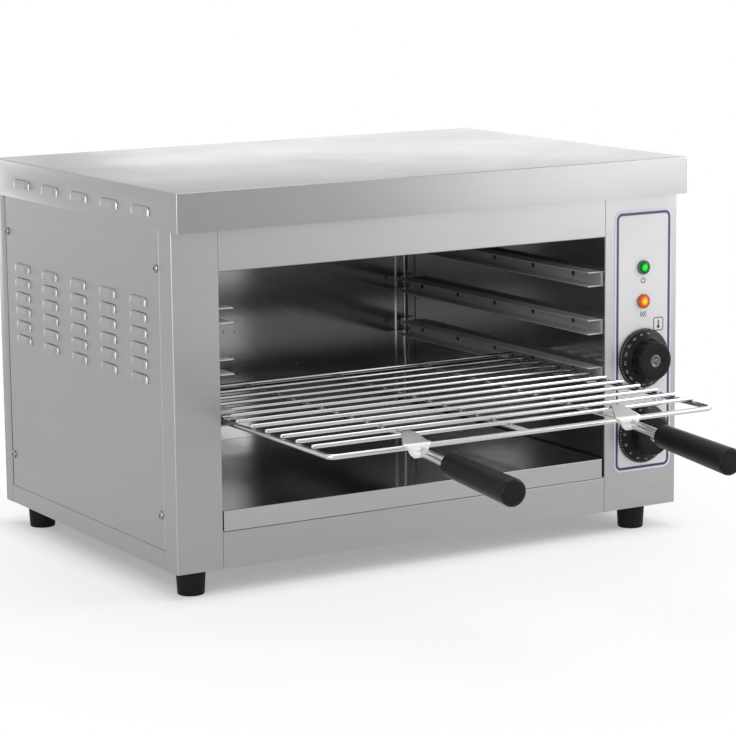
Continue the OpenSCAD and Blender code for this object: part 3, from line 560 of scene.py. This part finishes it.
def build_louvre(g, given):
    """A pressed louvre: it swells out under its top edge, is open below, and its ends are rounded."""
    sheet = g.node("GeometryNodeMeshGrid", None,
                   {"Size X": 2.0, "Size Y": 1.0, "Vertices X": given["Along"], "Vertices Y": given["Up"]})
    x, y, _ = g.axes(g.node("GeometryNodeInputPosition"))
    down = y + 0.5
    half = given["Length"] * 0.5
    eased_x = (x * (math.pi / 2)).math("SINE")
    into = ((abs(eased_x) * half - (half - given["End"])) / given["End"]).clamped()
    swell = (1.0 - into * into).math("MAXIMUM", 0.0) ** 0.85
    tall = (1.0 - into ** 5.0).math("MAXIMUM", 0.0) ** 0.4
    out = (down * (math.pi / 2)).math("SINE").math("MAXIMUM", 0.0) ** 0.9
    rise = (down * (math.pi / 2)).math("COSINE").math("MAXIMUM", 0.0) ** 0.95
    spot = g.node("ShaderNodeCombineXYZ", None, {
        0: eased_x * half, 1: -(out * swell * given["Stand out"]), 2: rise * tall * given["Height"]})
    moved = g.node("GeometryNodeSetPosition", None, {"Geometry": sheet, "Position": spot})
    return g.node("GeometryNodeMergeByDistance", None, {"Geometry": moved, "Distance": mm(0.02)})


LOUVRE = tree("pressed_louvre", build_louvre, {
    "Along": "Int", "Up": "Int", "Length": "Float", "Height": "Float", "Stand out": "Float", "End": "Float"})


def build_wire(g, given):
    """Round wire along a closed or open path, with bent corners."""
    path = g.node("GeometryNodeMeshToCurve", None, {"Mesh": given["Geometry"]})
    path = g.node("GeometryNodeFilletCurve", {"mode": "POLY"},
                  {"Curve": path, "Count": 7, "Radius": given["Bend"], "Limit Radius": True})
    profile = g.node("GeometryNodeCurvePrimitiveCircle", {"mode": "RADIUS"},
                     {"Resolution": given["Sides"], "Radius": given["Radius"]})
    tube = g.node("GeometryNodeCurveToMesh", None,
                  {"Curve": path, "Profile Curve": profile, "Fill Caps": True})
    return g.node("GeometryNodeSetShadeSmooth", None, {"Geometry": tube})


WIRE = tree("bent_wire", build_wire, {"Radius": "Float", "Bend": "Float", "Sides": "Int"})


def laid_out(mesh, material, start, columns=1, step=(0, 0, 0), rows=1, rise=(0, 0, 0), turn=(0, 0, 0)):
    """The mesh repeated in columns and rows; the start in casing millimetres, turn in radians."""
    return grown(ROWS, mesh, {
        "Columns": columns, "Rows": rows, "Start": tuple(place(*start)), "Step": tuple(mm(*step)),
        "Rise": tuple(mm(*rise)), "Turn": turn, "Finish": material})


# ---------- sheet metal ----------

FOLD, POST_FOLD, CUT_EDGE = 1.1, 1.9, 0.2


def folded(node, material, fold=FOLD, extra=()):
    """The node's own sheet with its folds rounded and its cut edges eased, and any extra meshes on it.

    A fold is a convex edge between two faces that are wider than the sheet is thick.
    """
    shape = bmesh.new()
    shape.from_mesh(frame["nodes"][node].data)
    bmesh.ops.remove_doubles(shape, verts=shape.verts, dist=1e-6)
    bmesh.ops.dissolve_limit(shape, angle_limit=math.radians(0.8), verts=shape.verts, edges=shape.edges)
    weight = shape.edges.layers.float.new("bevel_weight_edge")
    for edge in shape.edges:
        if len(edge.link_faces) != 2 or edge.calc_face_angle(0) < 0.6:
            continue
        wide = all(face.calc_area() / max(e.calc_length() for e in face.edges) > mm(1.6)
                   for face in edge.link_faces)
        edge[weight] = 1.0 if wide and edge.is_convex else CUT_EDGE / fold
    bevel = {"width": mm(fold), "segments": 3, "limit_method": "WEIGHT", "use_clamp_overlap": False}
    mesh = fair(settled(loose(node, from_bmesh(shape), ("BEVEL", bevel))), 50)
    if extra:
        mesh = joined(mesh, *extra)
    stand_in(node.replace("_panel", "_sheet") + "_folded", mesh, material, node)


folded("left_front_post", FRONT_STEEL, POST_FOLD)
for sheet_finish, sheet_nodes in (
        (FRONT_STEEL, ("control_panel", "top_front_panel", "bottom_front_panel")),
        (SIDE_STEEL, ("base_pan",)),
        (LINER_STEEL, ("left_cavity_wall", "right_cavity_wall", "cavity_floor", "heat_reflector")),
        (RAIL_STEEL, [f"{side}_{row}_rail"
                      for side in ("left", "right") for row in ("lower", "middle", "upper")]),
        (ZINC_STEEL, ("heat_shield",))):
    for sheet_node in sheet_nodes:
        folded(sheet_node, sheet_finish)


def upright(outline, low, high):
    """A closed outline of (x, y) casing millimetres pulled up from one height to another."""
    shape = bmesh.new()
    rings = [[shape.verts.new(place(x, y, z)) for x, y in outline] for z in (low, high)]
    for k in range(len(outline)):
        after = (k + 1) % len(outline)
        shape.faces.new((rings[0][k], rings[0][after], rings[1][after], rings[1][k]))
    for ring in rings:
        shape.faces.new(ring)
    bmesh.ops.recalc_face_normals(shape, faces=shape.faces)
    return smooth(from_bmesh(shape), 40)


# The rear wall meets the side walls in a bend, with a thin lap line beside it.
CORNER_BEND, LAP_IN, LAP_WIDE, WALL_LOW, WALL_TOP = 3.5, 12, 1.9, 37, 311
seams = []
for edge_x, way in ((CAVITY_RIGHT, -1), (CAVITY_LEFT, 1)):
    bend = [(edge_x + way * (CORNER_BEND - CORNER_BEND * math.sin(a)),
             CAVITY_BACK - CORNER_BEND + CORNER_BEND * math.cos(a))
            for a in (math.pi / 2 * k / 6 for k in range(7))]
    lap_x = edge_x + way * LAP_IN
    lap = [(lap_x, CAVITY_BACK + 1), (lap_x, CAVITY_BACK), (lap_x + way * LAP_WIDE, CAVITY_BACK + 1)]
    seams += [upright([(edge_x, CAVITY_BACK)] + bend, WALL_LOW, WALL_TOP), upright(lap, WALL_LOW, WALL_TOP)]
folded("rear_cavity_wall", LINER_STEEL, extra=seams)


def louvre(length):
    """One louvre hood of sheet metal, its open edge on local Z 0 and its back on local Y 0."""
    mesh = grown(LOUVRE, bpy.data.meshes.new("seed"), {
        "Along": 27, "Up": 9, "Length": mm(length), "Height": mm(LOUVRE_HIGH), "Stand out": mm(LOUVRE_OUT),
        "End": mm(LOUVRE_END)})
    mesh = settled(loose("louvre", mesh, ("SOLIDIFY", {"thickness": mm(0.7), "offset": -1.0})))
    shape = bmesh.new()
    shape.from_mesh(mesh)
    bmesh.ops.recalc_face_normals(shape, faces=shape.faces)
    return smooth(from_bmesh(shape), 60)


def slot_cutter(length):
    """The block that cuts the slot behind a louvre hood."""
    return cube(length - 5, 4, LOUVRE_HIGH - 2.5, Matrix.Translation((0, 0, mm(LOUVRE_HIGH / 2))))


def pierced(mesh, *cutters):
    """The mesh with the cutters taken out of it."""
    tool = loose("cutters", joined(*cutters))
    cut = ("BOOLEAN", {"operation": "DIFFERENCE", "solver": "EXACT", "object": tool})
    made = settled(loose("sheet", mesh, cut))
    bpy.data.objects.remove(tool)
    return made


def flat_sheet(x, y, z, ease=0.22):
    """A flat strip of sheet between pairs of casing millimetres, its edges eased."""
    return settled(loose("flat", from_bmesh(slab(x, y, z)), (
        "BEVEL", {"width": mm(ease), "segments": 2, "limit_method": "ANGLE", "use_clamp_overlap": True})))


SIDE_LOW, SIDE_TOP, SIDE_FRONT, SIDE_BACK, SIDE_ROLL = 19.4, 330, 25.4, 377.6, 2.5
BANK_LOW, BANK_ROWS, BANK_COLUMNS = 175, 6, 5


def rolled_sheet(at_x, start, end, roll):
    """A side sheet, 1 mm thick, its upright edges rolled inward."""
    def bend(centre_y, radius, first, last):
        return [(roll + radius * math.cos(a), centre_y + radius * math.sin(a))
                for a in (math.radians(first + (last - first) * k / 8) for k in range(9))]
    outline = (bend(start + roll, roll, 270, 180) + bend(end - roll, roll, 180, 90)
               + bend(end - roll, roll - 1, 90, 180) + bend(start + roll, roll - 1, 180, 270))
    return upright([(x if at_x == 0 else at_x - x, y) for x, y in outline], SIDE_LOW, SIDE_TOP)


LEFT, RIGHT, BACK = (0, 0, -math.pi / 2), (0, 0, math.pi / 2), (0, 0, math.pi)
SIDE_SLIT, LID_SLIT, BACK_SLIT = 32.5, 36, 50
side_hood, lid_hood, back_hood = louvre(SIDE_SLIT), louvre(LID_SLIT), louvre(BACK_SLIT)

for side, at_x, turn in (("left", 0, LEFT), ("right", WIDE, RIGHT)):
    node = side + "_side_panel"
    bank = {"start": (at_x, 70, BANK_LOW), "columns": BANK_COLUMNS, "step": (0, 66.7, 0),
            "rows": BANK_ROWS, "rise": (0, 0, LOUVRE_RISE), "turn": turn}
    sheet = pierced(rolled_sheet(at_x, SIDE_FRONT, SIDE_BACK, SIDE_ROLL),
                    laid_out(slot_cutter(SIDE_SLIT), SIDE_STEEL, **bank))
    sheet = fair(joined(sheet, laid_out(side_hood, SIDE_STEEL, **bank)), 40)
    stand_in(node + "_sheet", sheet, SIDE_STEEL, node)

back_bank = {"start": (536, DEEP, BANK_LOW), "rows": BANK_ROWS, "rise": (0, 0, LOUVRE_RISE), "turn": BACK}
back = [pierced(flat_sheet((0, WIDE), (DEEP - 1, DEEP), (0, BACK_TOP)),
                laid_out(slot_cutter(BACK_SLIT), SIDE_STEEL, **back_bank)),
        laid_out(back_hood, SIDE_STEEL, **back_bank)]
# Its two side returns, each an outer strip and a tab that tucks in behind the side sheet.
for strip_x, tab_x in (((0, 1), (1, 2)), ((WIDE - 1, WIDE), (WIDE - 2, WIDE - 1))):
    back += [flat_sheet(strip_x, (378, DEEP - 1), (0, 344)), flat_sheet(tab_x, (363, 379), (20, 321.5))]
stand_in("back_sheet", smooth(joined(*back), 40), SIDE_STEEL, "back_panel")


def folded_box(x, y, z, open_ways, fold, segments):
    """A folded box of 1 mm sheet between pairs of casing millimetres, open toward the directions given."""
    shape = slab(x, y, z)
    lost = [f for f in shape.faces if any(f.normal.dot(Vector(way)) > 0.9 for way in open_ways)]
    bmesh.ops.delete(shape, geom=lost, context="FACES")
    weight = shape.edges.layers.float.new("bevel_weight_edge")
    for edge in shape.edges:
        edge[weight] = 1.0 if len(edge.link_faces) == 2 else 0.0
    return settled(loose("box", from_bmesh(shape),
                         ("BEVEL", {"width": mm(fold), "segments": segments, "limit_method": "WEIGHT"}),
                         ("SOLIDIFY", {"thickness": mm(1), "offset": -1.0, "use_even_offset": True})))


lid_banks = [{"start": (at_x, 59, 336), "columns": BANK_COLUMNS, "step": (0, 67.7, 0), "turn": turn}
             for at_x, turn in ((-1, LEFT), (WIDE + 1, RIGHT))]
lid = folded_box((-1, WIDE + 1), (-16, DEEP + 1), (LID_LOW, LID_TOP), [(0, 0, -1)], 1.0, 4)
lid = pierced(lid, *(laid_out(slot_cutter(LID_SLIT), LID_STEEL, **bank) for bank in lid_banks))
lid = joined(lid, *(laid_out(lid_hood, LID_STEEL, **bank) for bank in lid_banks),
             flat_sheet((0, WIDE), (-15.2, -0.5), (LID_LOW, LID_LOW + 1)))
stand_in("lid_folded", smooth(lid, 40), LID_STEEL, "lid")

TRAY_LEFT, TRAY_RIGHT, TRAY_LOW, TRAY_TOP = 49.8, 487, 37.3, 56.3
tray = [folded_box((TRAY_LEFT, TRAY_RIGHT), (-0.4, 382), (TRAY_LOW, TRAY_TOP), [(0, 0, 1), (0, -1, 0)], 1.2, 3),
        flat_sheet((TRAY_LEFT, TRAY_RIGHT), (-1, 0), (TRAY_LOW - 0.9, TRAY_TOP), 0.4),
        flat_sheet((TRAY_LEFT + 0.6, TRAY_RIGHT - 0.6), (-0.4, 1.4), (TRAY_TOP - 1, TRAY_TOP))]
stand_in("crumb_tray_pan", fair(joined(*tray), 40), TRAY_STEEL, "crumb_tray")


# ---------- knobs, grips, feet ----------

FLUTES, FLUTE_AT, FLUTE_R = 12, 24.7, 5.0
SKIRT_OUT, SKIRT_LOW, CAP_OUT, CAP_LOW = 31, 3, 22.5, 9.5
FLUTE_LOW, HUB_OUT = 10.2, 12
NUMERALS_OUT, TICKS_OUT = 26.4, 29.9


def fluted(radius, height, angle):
    """The knob's side wall, scalloped for the fingers."""
    if height < FLUTE_LOW or radius < HUB_OUT:
        return radius
    off = (angle + math.pi / FLUTES) % (2 * math.pi / FLUTES) - math.pi / FLUTES
    across = FLUTE_AT * math.sin(off)
    if abs(across) >= FLUTE_R:
        return radius
    inner = FLUTE_AT * math.cos(off) - math.sqrt(FLUTE_R ** 2 - across ** 2)
    return min(radius, inner)


def knob(node, z):
    """A knob at a height: numbered skirt, fluted cap, screw recess and a pointer dimple."""
    outline = eased([(0, 1.5), (SKIRT_OUT, 1.5), (SKIRT_OUT, SKIRT_LOW), (CAP_OUT, CAP_LOW),
                     (21.5, FLUTE_LOW), (20.5, 21), (19, 23), (6.7, 23), (6.7, 21.5), (0, 21.5)], 0.7)
    mesh = turned(outline, 144, aimed(place(KNOB_X, 0, z), (0, -1, 0)), fluted)
    dimple = turned([(0, -0.8), (1.5, -0.8), (1.5, 1.0), (0, 1.0)], 24,
                    aimed(place(KNOB_X + 9.6, -23, z), (0, -1, 0)))
    stand_in(node + "_moulded", smooth(pierced(mesh, dimple), 32), KNOB_PLASTIC, node)


def lettering(text, size, thick=0.12):
    """A short row of numerals as a solid, centred, facing local Z, in metres."""
    curve = bpy.data.curves.new("numerals", "FONT")
    curve.body, curve.size, curve.extrude = text, mm(size), mm(thick)
    curve.align_x, curve.align_y, curve.resolution_u = "CENTER", "CENTER", 3
    made = bpy.data.objects.new("numerals", curve)
    SCENE.collection.objects.link(made)
    return settled(made)


def on_skirt(mesh, angle, out, z):
    """A mark laid on the skirt of the knob at height z, as far out from its axis as given.

    The angle turns anticlockwise from the right, seen from the front.
    """
    run, rise = SKIRT_OUT - CAP_OUT, CAP_LOW - SKIRT_LOW
    radial = Vector((math.cos(angle), 0, math.sin(angle)))
    normal = (Vector((0, -1, 0)) * run + radial * rise).normalized()
    up = (Vector((0, -1, 0)) * rise - radial * run).normalized()
    height = SKIRT_LOW + (SKIRT_OUT - out) * rise / run
    spot = place(KNOB_X, 0, z) + radial * mm(out) + Vector((0, -mm(height), 0))
    across = up.cross(normal)
    mesh.transform(Matrix.Translation(spot) @ Matrix((across, up, normal)).transposed().to_4x4())
    return mesh


def dial_scale(name, node, z, numbers, first, step, size):
    """Numerals on a knob's skirt and a ring of ticks, four to a numeral; first and step in degrees."""
    marks = [on_skirt(lettering(str(number), size), math.radians(first + step * k), NUMERALS_OUT, z)
             for k, number in enumerate(numbers)]
    axle = aimed(place(KNOB_X, 0, z), (0, -1, 0), (1, 0, 0))
    tick = on_skirt(cube(0.5, 1.4, 0.14), 0.0, TICKS_OUT, z)
    tick.transform(axle.inverted())
    ring = grown(RING, tick, {"Count": 4 * len(numbers) - 3, "First": math.radians(first),
                              "Step": math.radians(step / 4), "Finish": DIAL_PAINT})
    ring.transform(axle)
    piece(name, joined(*marks, ring), DIAL_PAINT, body_of(node), SLOT_OF[node])


def knob_screw(node, z):
    """The screw's broad head, dished, with two holes for a pin spanner."""
    seat_y = -21.5
    outline = eased([(0, -0.2), (6.5, -0.2), (6.5, 1.4), (4.9, 1.4), (4.3, 0.8), (2.2, 0.8),
                     (1.7, 1.3), (0, 1.3)], 0.3, 2)
    head = turned(outline, 48, aimed(place(KNOB_X, seat_y, z), (0, -1, 0)))
    holes = [turned([(0, 0.05), (1.5, 0.05), (1.5, 2.4), (0, 2.4)], 24,
                    aimed(place(KNOB_X, seat_y, z + 3.1 * side), (0, -1, 0))) for side in (-1, 1)]
    stand_in(node + "_turned", smooth(pierced(head, *holes), 35), KNOB_SCREW_SHADED, node)


for knob_name, knob_z, numbers, first, step, size in (
        ("thermostat", THERMOSTAT_Z, range(60, 301, 20), 84, 20, 3.1),
        ("timer", TIMER_Z, range(5, 61, 5), 80, 24, 3.3)):
    knob(knob_name + "_knob", knob_z)
    dial_scale(knob_name + "_dial_scale", knob_name + "_knob", knob_z, numbers, first, step, size)
    knob_screw(knob_name + "_knob_screw", knob_z)

HANDLE_DROOP = math.radians(4)


def handle_root(side):
    """Where a handle starts at the rack's front wire; local Z runs out along the handle."""
    out = (0, -math.cos(HANDLE_DROOP), -math.sin(HANDLE_DROOP))
    return aimed(place(HANDLE_X[side], HANDLE_Y, HANDLE_Z), out)


for side in ("left", "right"):
    node = side + "_grip"
    outline = eased([(0, 46), (9.6, 46), (11.0, 47.6), (12.8, 148.2), (11.2, 150), (0, 150)], 1.6, 4)
    stand_in(node + "_moulded", smooth(turned(outline, 64, handle_root(side)), 30), GRIP_PLASTIC, node)

for node, foot_x, foot_y in (("front_left_foot", 25, 22), ("front_right_foot", 540, 22),
                             ("back_left_foot", 25, 362), ("back_right_foot", 540, 362)):
    outline = eased([(0, 3.0), (6.0, 3.0), (6.0, 0), (13.0, 0), (14.5, FOOT_HIGH), (0, FOOT_HIGH)], 1.2, 3)
    foot = turned(outline, 48, aimed(place(foot_x, foot_y, -FOOT_HIGH), (0, 0, 1), (1, 0, 0)))
    stand_in(node + "_moulded", smooth(foot, 30), FOOT_RUBBER, node)


# ---------- rack ----------

CROSS_R, RACK_R, RACK_BEND = 2.0, 2.5, 6.5


def rod(length, radius, sides=14):
    """A straight wire along local X, its cut ends domed."""
    half = length / 2
    dome = [(radius * math.sin(a), half - radius * 0.5 + radius * 0.5 * math.cos(a))
            for a in (math.pi / 2 * k / 3 for k in range(4))]
    outline = [(r, -h) for r, h in dome] + [(r, h) for r, h in reversed(dome)]
    return smooth(turned(outline, sides, aimed((0, 0, 0), (1, 0, 0))), 50)


corners = [place(x, y, RACK_Z) for x, y in ((RACK_LEFT, RACK_FRONT), (RACK_RIGHT, RACK_FRONT),
                                            (RACK_RIGHT, RACK_BACK), (RACK_LEFT, RACK_BACK))]
loop = bpy.data.meshes.new("path")
loop.from_pydata([tuple(corner) for corner in corners], [(0, 1), (1, 2), (2, 3), (3, 0)], [])
frame_wire = grown(WIRE, loop, {
    "Radius": mm(RACK_R), "Bend": mm(RACK_BEND), "Sides": 20, "Finish": CHROME_WIRE})
stand_in("rack_frame_wire", frame_wire, CHROME_WIRE, "rack_frame")

rack_x, rack_y = (RACK_LEFT + RACK_RIGHT) / 2, (RACK_FRONT + RACK_BACK) / 2
cross_wires = laid_out(rod(RACK_RIGHT - RACK_LEFT + 2, CROSS_R), CHROME_WIRE,
                       (rack_x, -157, 143.9), 12, (0, 28.6, 0))
stand_in("rack_cross_wire_set", cross_wires, CHROME_WIRE, "rack_cross_wires")
long_wires = laid_out(rod(RACK_BACK - RACK_FRONT, CROSS_R), CHROME_WIRE,
                      (rack_x - 105, rack_y, 140.2), 3, (105, 0, 0), turn=(0, 0, math.pi / 2))
stand_in("rack_long_wire_set", long_wires, CHROME_WIRE, "rack_long_wires")


def bracket(x):
    """The plate that hooks over the front wire, with its corners rounded and its front lobe narrower."""
    side = [(-154, 147.3), (-160, 147.3), (-163, 147.3), (-176, 145.2), (-188.6, 143.4), (-191.6, 143.0),
            (-192.7, 141.6), (-192.8, 138), (-192.8, 133), (-192.8, 129.7)]
    lefts = [0.5, -1.5, -3.5, -11.0, -18.4, -19.0, -18.4, -15.0, -12.0, -8.0]
    rights = [10.5, 11.0, 11.0, 10.5, 9.4, 9.0, 8.5, 7.5, 5.0, 1.0]
    shape = bmesh.new()
    rows = [[shape.verts.new(place(x + a + (b - a) * k / 8, y, z)) for k in range(9)]
            for (y, z), a, b in zip(side, lefts, rights)]
    for low, high in zip(rows, rows[1:]):
        for k in range(8):
            shape.faces.new((low[k], high[k], high[k + 1], low[k + 1]))
    bmesh.ops.recalc_face_normals(shape, faces=shape.faces)
    if sum(f.normal.z for f in shape.faces) < 0:
        bmesh.ops.reverse_faces(shape, faces=shape.faces)
    return settled(loose("bracket", from_bmesh(shape),
                         ("SOLIDIFY", {"thickness": mm(1.5), "offset": -1.0, "use_even_offset": True}),
                         ("BEVEL", {"width": mm(0.4), "segments": 2, "limit_method": "ANGLE"})))


for side in ("left", "right"):
    node = side + "_handle_stem"
    rods = []
    for way in (-1, 1):
        stem = rod(84, CROSS_R)
        stem.transform(handle_root(side) @ Matrix.Translation((mm(2.6 * way), 0, mm(41)))
                       @ Matrix.Rotation(math.pi / 2, 4, "Y"))
        rods.append(stem)
    stand_in(node + "_plate", smooth(bracket(HANDLE_X[side]), 40), BRACKET_STEEL, node)
    piece(node + "_rods", smooth(joined(*rods), 50), STEM_WIRE_PAINTED_LIGHT, "rack", SLOT_OF[node])


# ---------- screws and rivets ----------

def pan_head(radius, height):
    """A pan head with a cross recess, standing on local Z 0."""
    outline = eased([(0, 0), (radius, 0), (radius, height * 0.35), (radius * 0.62, height), (0, height)],
                    radius * 0.28, 4)
    head = turned(outline, 28, Matrix())
    for turn in (0.3, 0.3 + math.pi / 2):
        spot = Matrix.Rotation(turn, 4, "Z") @ Matrix.Translation((0, 0, mm(height)))
        head = pierced(head, cube(radius * 1.2, radius * 0.3, height * 1.1, spot))
    return smooth(head, 30)


rivet = smooth(turned(eased([(0, 0), (2.7, 0), (2.7, 0.25), (1.5, 1.3), (0, 1.3)], 0.7, 3), 16, Matrix()), 60)
rivets = [laid_out(rivet, RIVET_PAINTED_SHADE, (at_x, 55, 143.5), 5, (0, 73.5, 0), 3, (0, 0, RAIL_PITCH), turn)
          for at_x, turn in ((CAVITY_LEFT + 1, (0, math.pi / 2, 0)), (CAVITY_RIGHT - 1, (0, -math.pi / 2, 0)))]
stand_in("rail_rivet_set", joined(*rivets), RIVET_PAINTED_SHADE, "rail_rivets")

screw_head = pan_head(4.2, 2.2)
screws = [laid_out(screw_head, FASTENER_STEEL, *spot) for spot in (
    ((0, 31, 52.5), 2, (0, 342, 0), 2, (0, 0, 235.5), (0, -math.pi / 2, 0)),
    ((WIDE, 31, 52.5), 2, (0, 342, 0), 2, (0, 0, 235.5), (0, math.pi / 2, 0)),
    ((40, DEEP, 10), 2, (500, 0, 0), 2, (0, 1, 325.5), (-math.pi / 2, 0, 0)),
    ((200, DEEP, 10), 2, (180, 0, 0), 2, (0, 1, 325.5), (-math.pi / 2, 0, 0)))]
stand_in("casing_screw_heads", joined(*screws), FASTENER_STEEL, "casing_screws")


# ---------- signs on the label ----------

def ribbon(points, width, closed=False):
    """A flat printed line through (across, up) millimetres."""
    line = [Vector(p) for p in points]
    count = len(line)
    shape = bmesh.new()
    pairs = []
    for k, here in enumerate(line):
        ahead = line[(k + 1) % count] if closed or k < count - 1 else here
        behind = line[k - 1] if closed or k else here
        run = (ahead - behind).normalized()
        side = Vector((-run.y, run.x)) * width / 2
        pairs.append([shape.verts.new((mm(p.x), mm(p.y), 0)) for p in (here + side, here - side)])
    for k in range(count if closed else count - 1):
        a, b = pairs[k], pairs[(k + 1) % count]
        shape.faces.new((a[0], a[1], b[1], b[0]))
    return from_bmesh(shape)


def arc(x, y, radius, start, end, steps=20):
    """Points on an arc between two angles in degrees."""
    return [(x + radius * math.cos(a), y + radius * math.sin(a))
            for a in (math.radians(start + (end - start) * k / steps) for k in range(steps + 1))]


def frame_line(half_x, half_y, corner):
    """The corners of a rounded rectangle, as points round it."""
    points = []
    for x, y, start in ((1, 1, 0), (-1, 1, 90), (-1, -1, 180), (1, -1, 270)):
        points += arc(x * (half_x - corner), y * (half_y - corner), corner, start, start + 90, 6)
    return points


def sign(name, x, z, *lines):
    """A printed sign on the label, a film's thickness proud of it."""
    mesh = joined(*(ribbon(*line) for line in lines))
    mesh.transform(aimed(place(x, -0.32, z), (0, -1, 0)) @ Matrix.Rotation(-math.pi / 2, 4, "Z"))
    mesh = settled(loose("sign", mesh, ("SOLIDIFY", {"thickness": mm(0.04), "offset": 1.0})))
    piece(name, mesh, SIGN_INK, "casing", SLOT_OF["control_label"])


BELOW_LAMP, BESIDE_KNOB = 13.4, 19.6
wave = [(0.8 * math.sin(k * math.pi / 5), -2.6 + 0.35 * k) for k in range(16)]
border = (frame_line(5.9, 6.6, 2.0), 0.9, True)
sign("power_sign", KNOB_X, GREEN_LAMP_Z - BELOW_LAMP,
     (arc(0, 0, 2.6, 125, 415), 0.95), ([(0, 0.6), (0, 3.6)], 0.95))
sign("heat_sign", KNOB_X, AMBER_LAMP_Z - BELOW_LAMP,
     *(([(x + shift, y) for x, y in wave], 0.9) for shift in (-2.7, 0, 2.7)))
sign("thermometer_sign", KNOB_X + BESIDE_KNOB, THERMOSTAT_Z + 34,
     border, ([(0, 4.0), (0, -1.5)], 1.5), (arc(0, -2.8, 0.9, 0, 360, 14)[:-1], 1.8, True))
sign("clock_sign", KNOB_X + BESIDE_KNOB, TIMER_Z + 33.5,
     border, (arc(0, 0, 3.4, 0, 360, 24)[:-1], 0.8, True), ([(0, 2.2), (0, 0), (1.6, -1.0)], 0.8))


# ---------- stage, light and camera ----------

def looked_at(g):
    """1 for what the camera sees straight, in a mirror or through glass, and 0 for light on its way."""
    path = g.node("ShaderNodeLightPath", out="Is Camera Ray")
    return path.math("MAXIMUM", path.out("Is Glossy Ray")).math("MAXIMUM", path.out("Is Transmission Ray"))


def floor_surface(g):
    """A pale floor that runs out into the white background; under and near the object a painted shadow,
    following the casing's footprint, lowers its white so that the real shadow there shows deeper.
    """
    x, y, _ = g.axes(g.spot())
    away = (x * x + y * y) ** 0.5
    casing = place(WIDE / 2, DEEP / 2, 0)
    beside = (abs(x - casing.x) - 0.265).math("MAXIMUM", abs(y - casing.y) - 0.173)
    grain = g.noise(g.spot(), 60.0, 2.0)
    paint = g.mix(grain, (0.90, 0.90, 0.90), (0.94, 0.94, 0.94))
    pale = g.node("ShaderNodeBsdfDiffuse", None, {"Color": paint})
    white = g.node("ShaderNodeEmission", None, {"Color": (1, 1, 1, 1), "Strength": 1.0})
    # Painted shadow: the white share falls over the casing's footprint and just beyond it, deepening the
    # floor's real shadow there.
    share = (away.ramp(0.34, 0.62) * 0.3 + 0.7) * (beside.ramp(0.0, 0.055) * 0.6 + 0.4) * looked_at(g)
    return g.node("ShaderNodeMixShader", None, {0: share, 1: pale, 2: white})


floor_shape = bmesh.new()
bmesh.ops.create_circle(floor_shape, cap_ends=True, segments=64, radius=6.0)
floor = bpy.data.objects.new("floor", from_bmesh(floor_shape))
SCENE.collection.objects.link(floor)
floor.data.materials.append(finish("pale_floor", floor_surface))

world = bpy.data.worlds.new("studio")
world.use_nodes = True
world.node_tree.nodes.clear()
sky = Graph(world.node_tree)
soft = sky.node("ShaderNodeBackground", None, {"Color": (1, 1, 1, 1), "Strength": 0.45})
white = sky.node("ShaderNodeBackground", None, {"Color": (1, 1, 1, 1), "Strength": 1.0})
studio = sky.node("ShaderNodeMixShader", None, {0: looked_at(sky), 1: soft, 2: white})
world_end = world.node_tree.nodes.new("ShaderNodeOutputWorld")
world.node_tree.links.new(studio.socket, world_end.inputs["Surface"])
SCENE.world = world


def softbox(name, spot, target, width, height, power, card=False):
    """A rectangular lamp; a card is seen in the steel but adds nothing to matt surfaces."""
    lamp = bpy.data.lights.new(name, "AREA")
    lamp.shape, lamp.size, lamp.size_y, lamp.energy = "RECTANGLE", height, width, power
    made = bpy.data.objects.new(name, lamp)
    SCENE.collection.objects.link(made)
    made.matrix_world = aimed(Vector(spot), Vector(spot) - Vector(target))
    made.visible_diffuse = not card
    return made


softbox("right_softbox", (1.7, -0.6, 1.0), (0, 0.1, 0.15), 0.9, 0.9, 16)
softbox("top_softbox", (0.2, 0.1, 2.2), (0, 0.1, 0.2), 1.5, 1.5, 20)
softbox("left_softbox", (-1.5, -1.5, 1.0), (0, 0.1, 0.15), 0.8, 0.8, 7)
softbox("front_card", (1.35, -1.3, 0.42), (0.2, 0, 0.25), 1.0, 0.9, 6, True)
softbox("left_card", (-2.0, -1.0, 0.55), (-0.29, 0, 0.2), 1.6, 1.0, 18, True)
softbox("back_card", (3.75, 3.45, 0.95), (0.2, 0.1, 0.35), 5.0, 2.0, 31, True)
softbox("rear_left_card", (-0.12, 2.2, 0.24), (-0.29, 0, 0.2), 1.3, 0.45, 4, True)

SCENE.view_settings.view_transform = "Standard"
EYE, FOCAL, SENSOR = (-1.4483, -2.3339, 0.6712), 137.56, 36.0
AZIMUTH, DOWNWARD, ROLL = math.radians(30.76), math.radians(9.93), math.radians(-0.56)
forward = Vector((math.sin(AZIMUTH) * math.cos(DOWNWARD), math.cos(AZIMUTH) * math.cos(DOWNWARD),
                  -math.sin(DOWNWARD)))
level = Vector((math.cos(AZIMUTH), -math.sin(AZIMUTH), 0))
plumb = level.cross(forward)
right = level * math.cos(ROLL) + plumb * math.sin(ROLL)
up = plumb * math.cos(ROLL) - level * math.sin(ROLL)
lens = bpy.data.cameras.new("camera")
lens.sensor_width, lens.lens = SENSOR, FOCAL
camera = bpy.data.objects.new("camera", lens)
SCENE.collection.objects.link(camera)
camera.matrix_world = Matrix.Translation(EYE) @ Matrix((right, up, -forward)).transposed().to_4x4()
SCENE.camera = camera
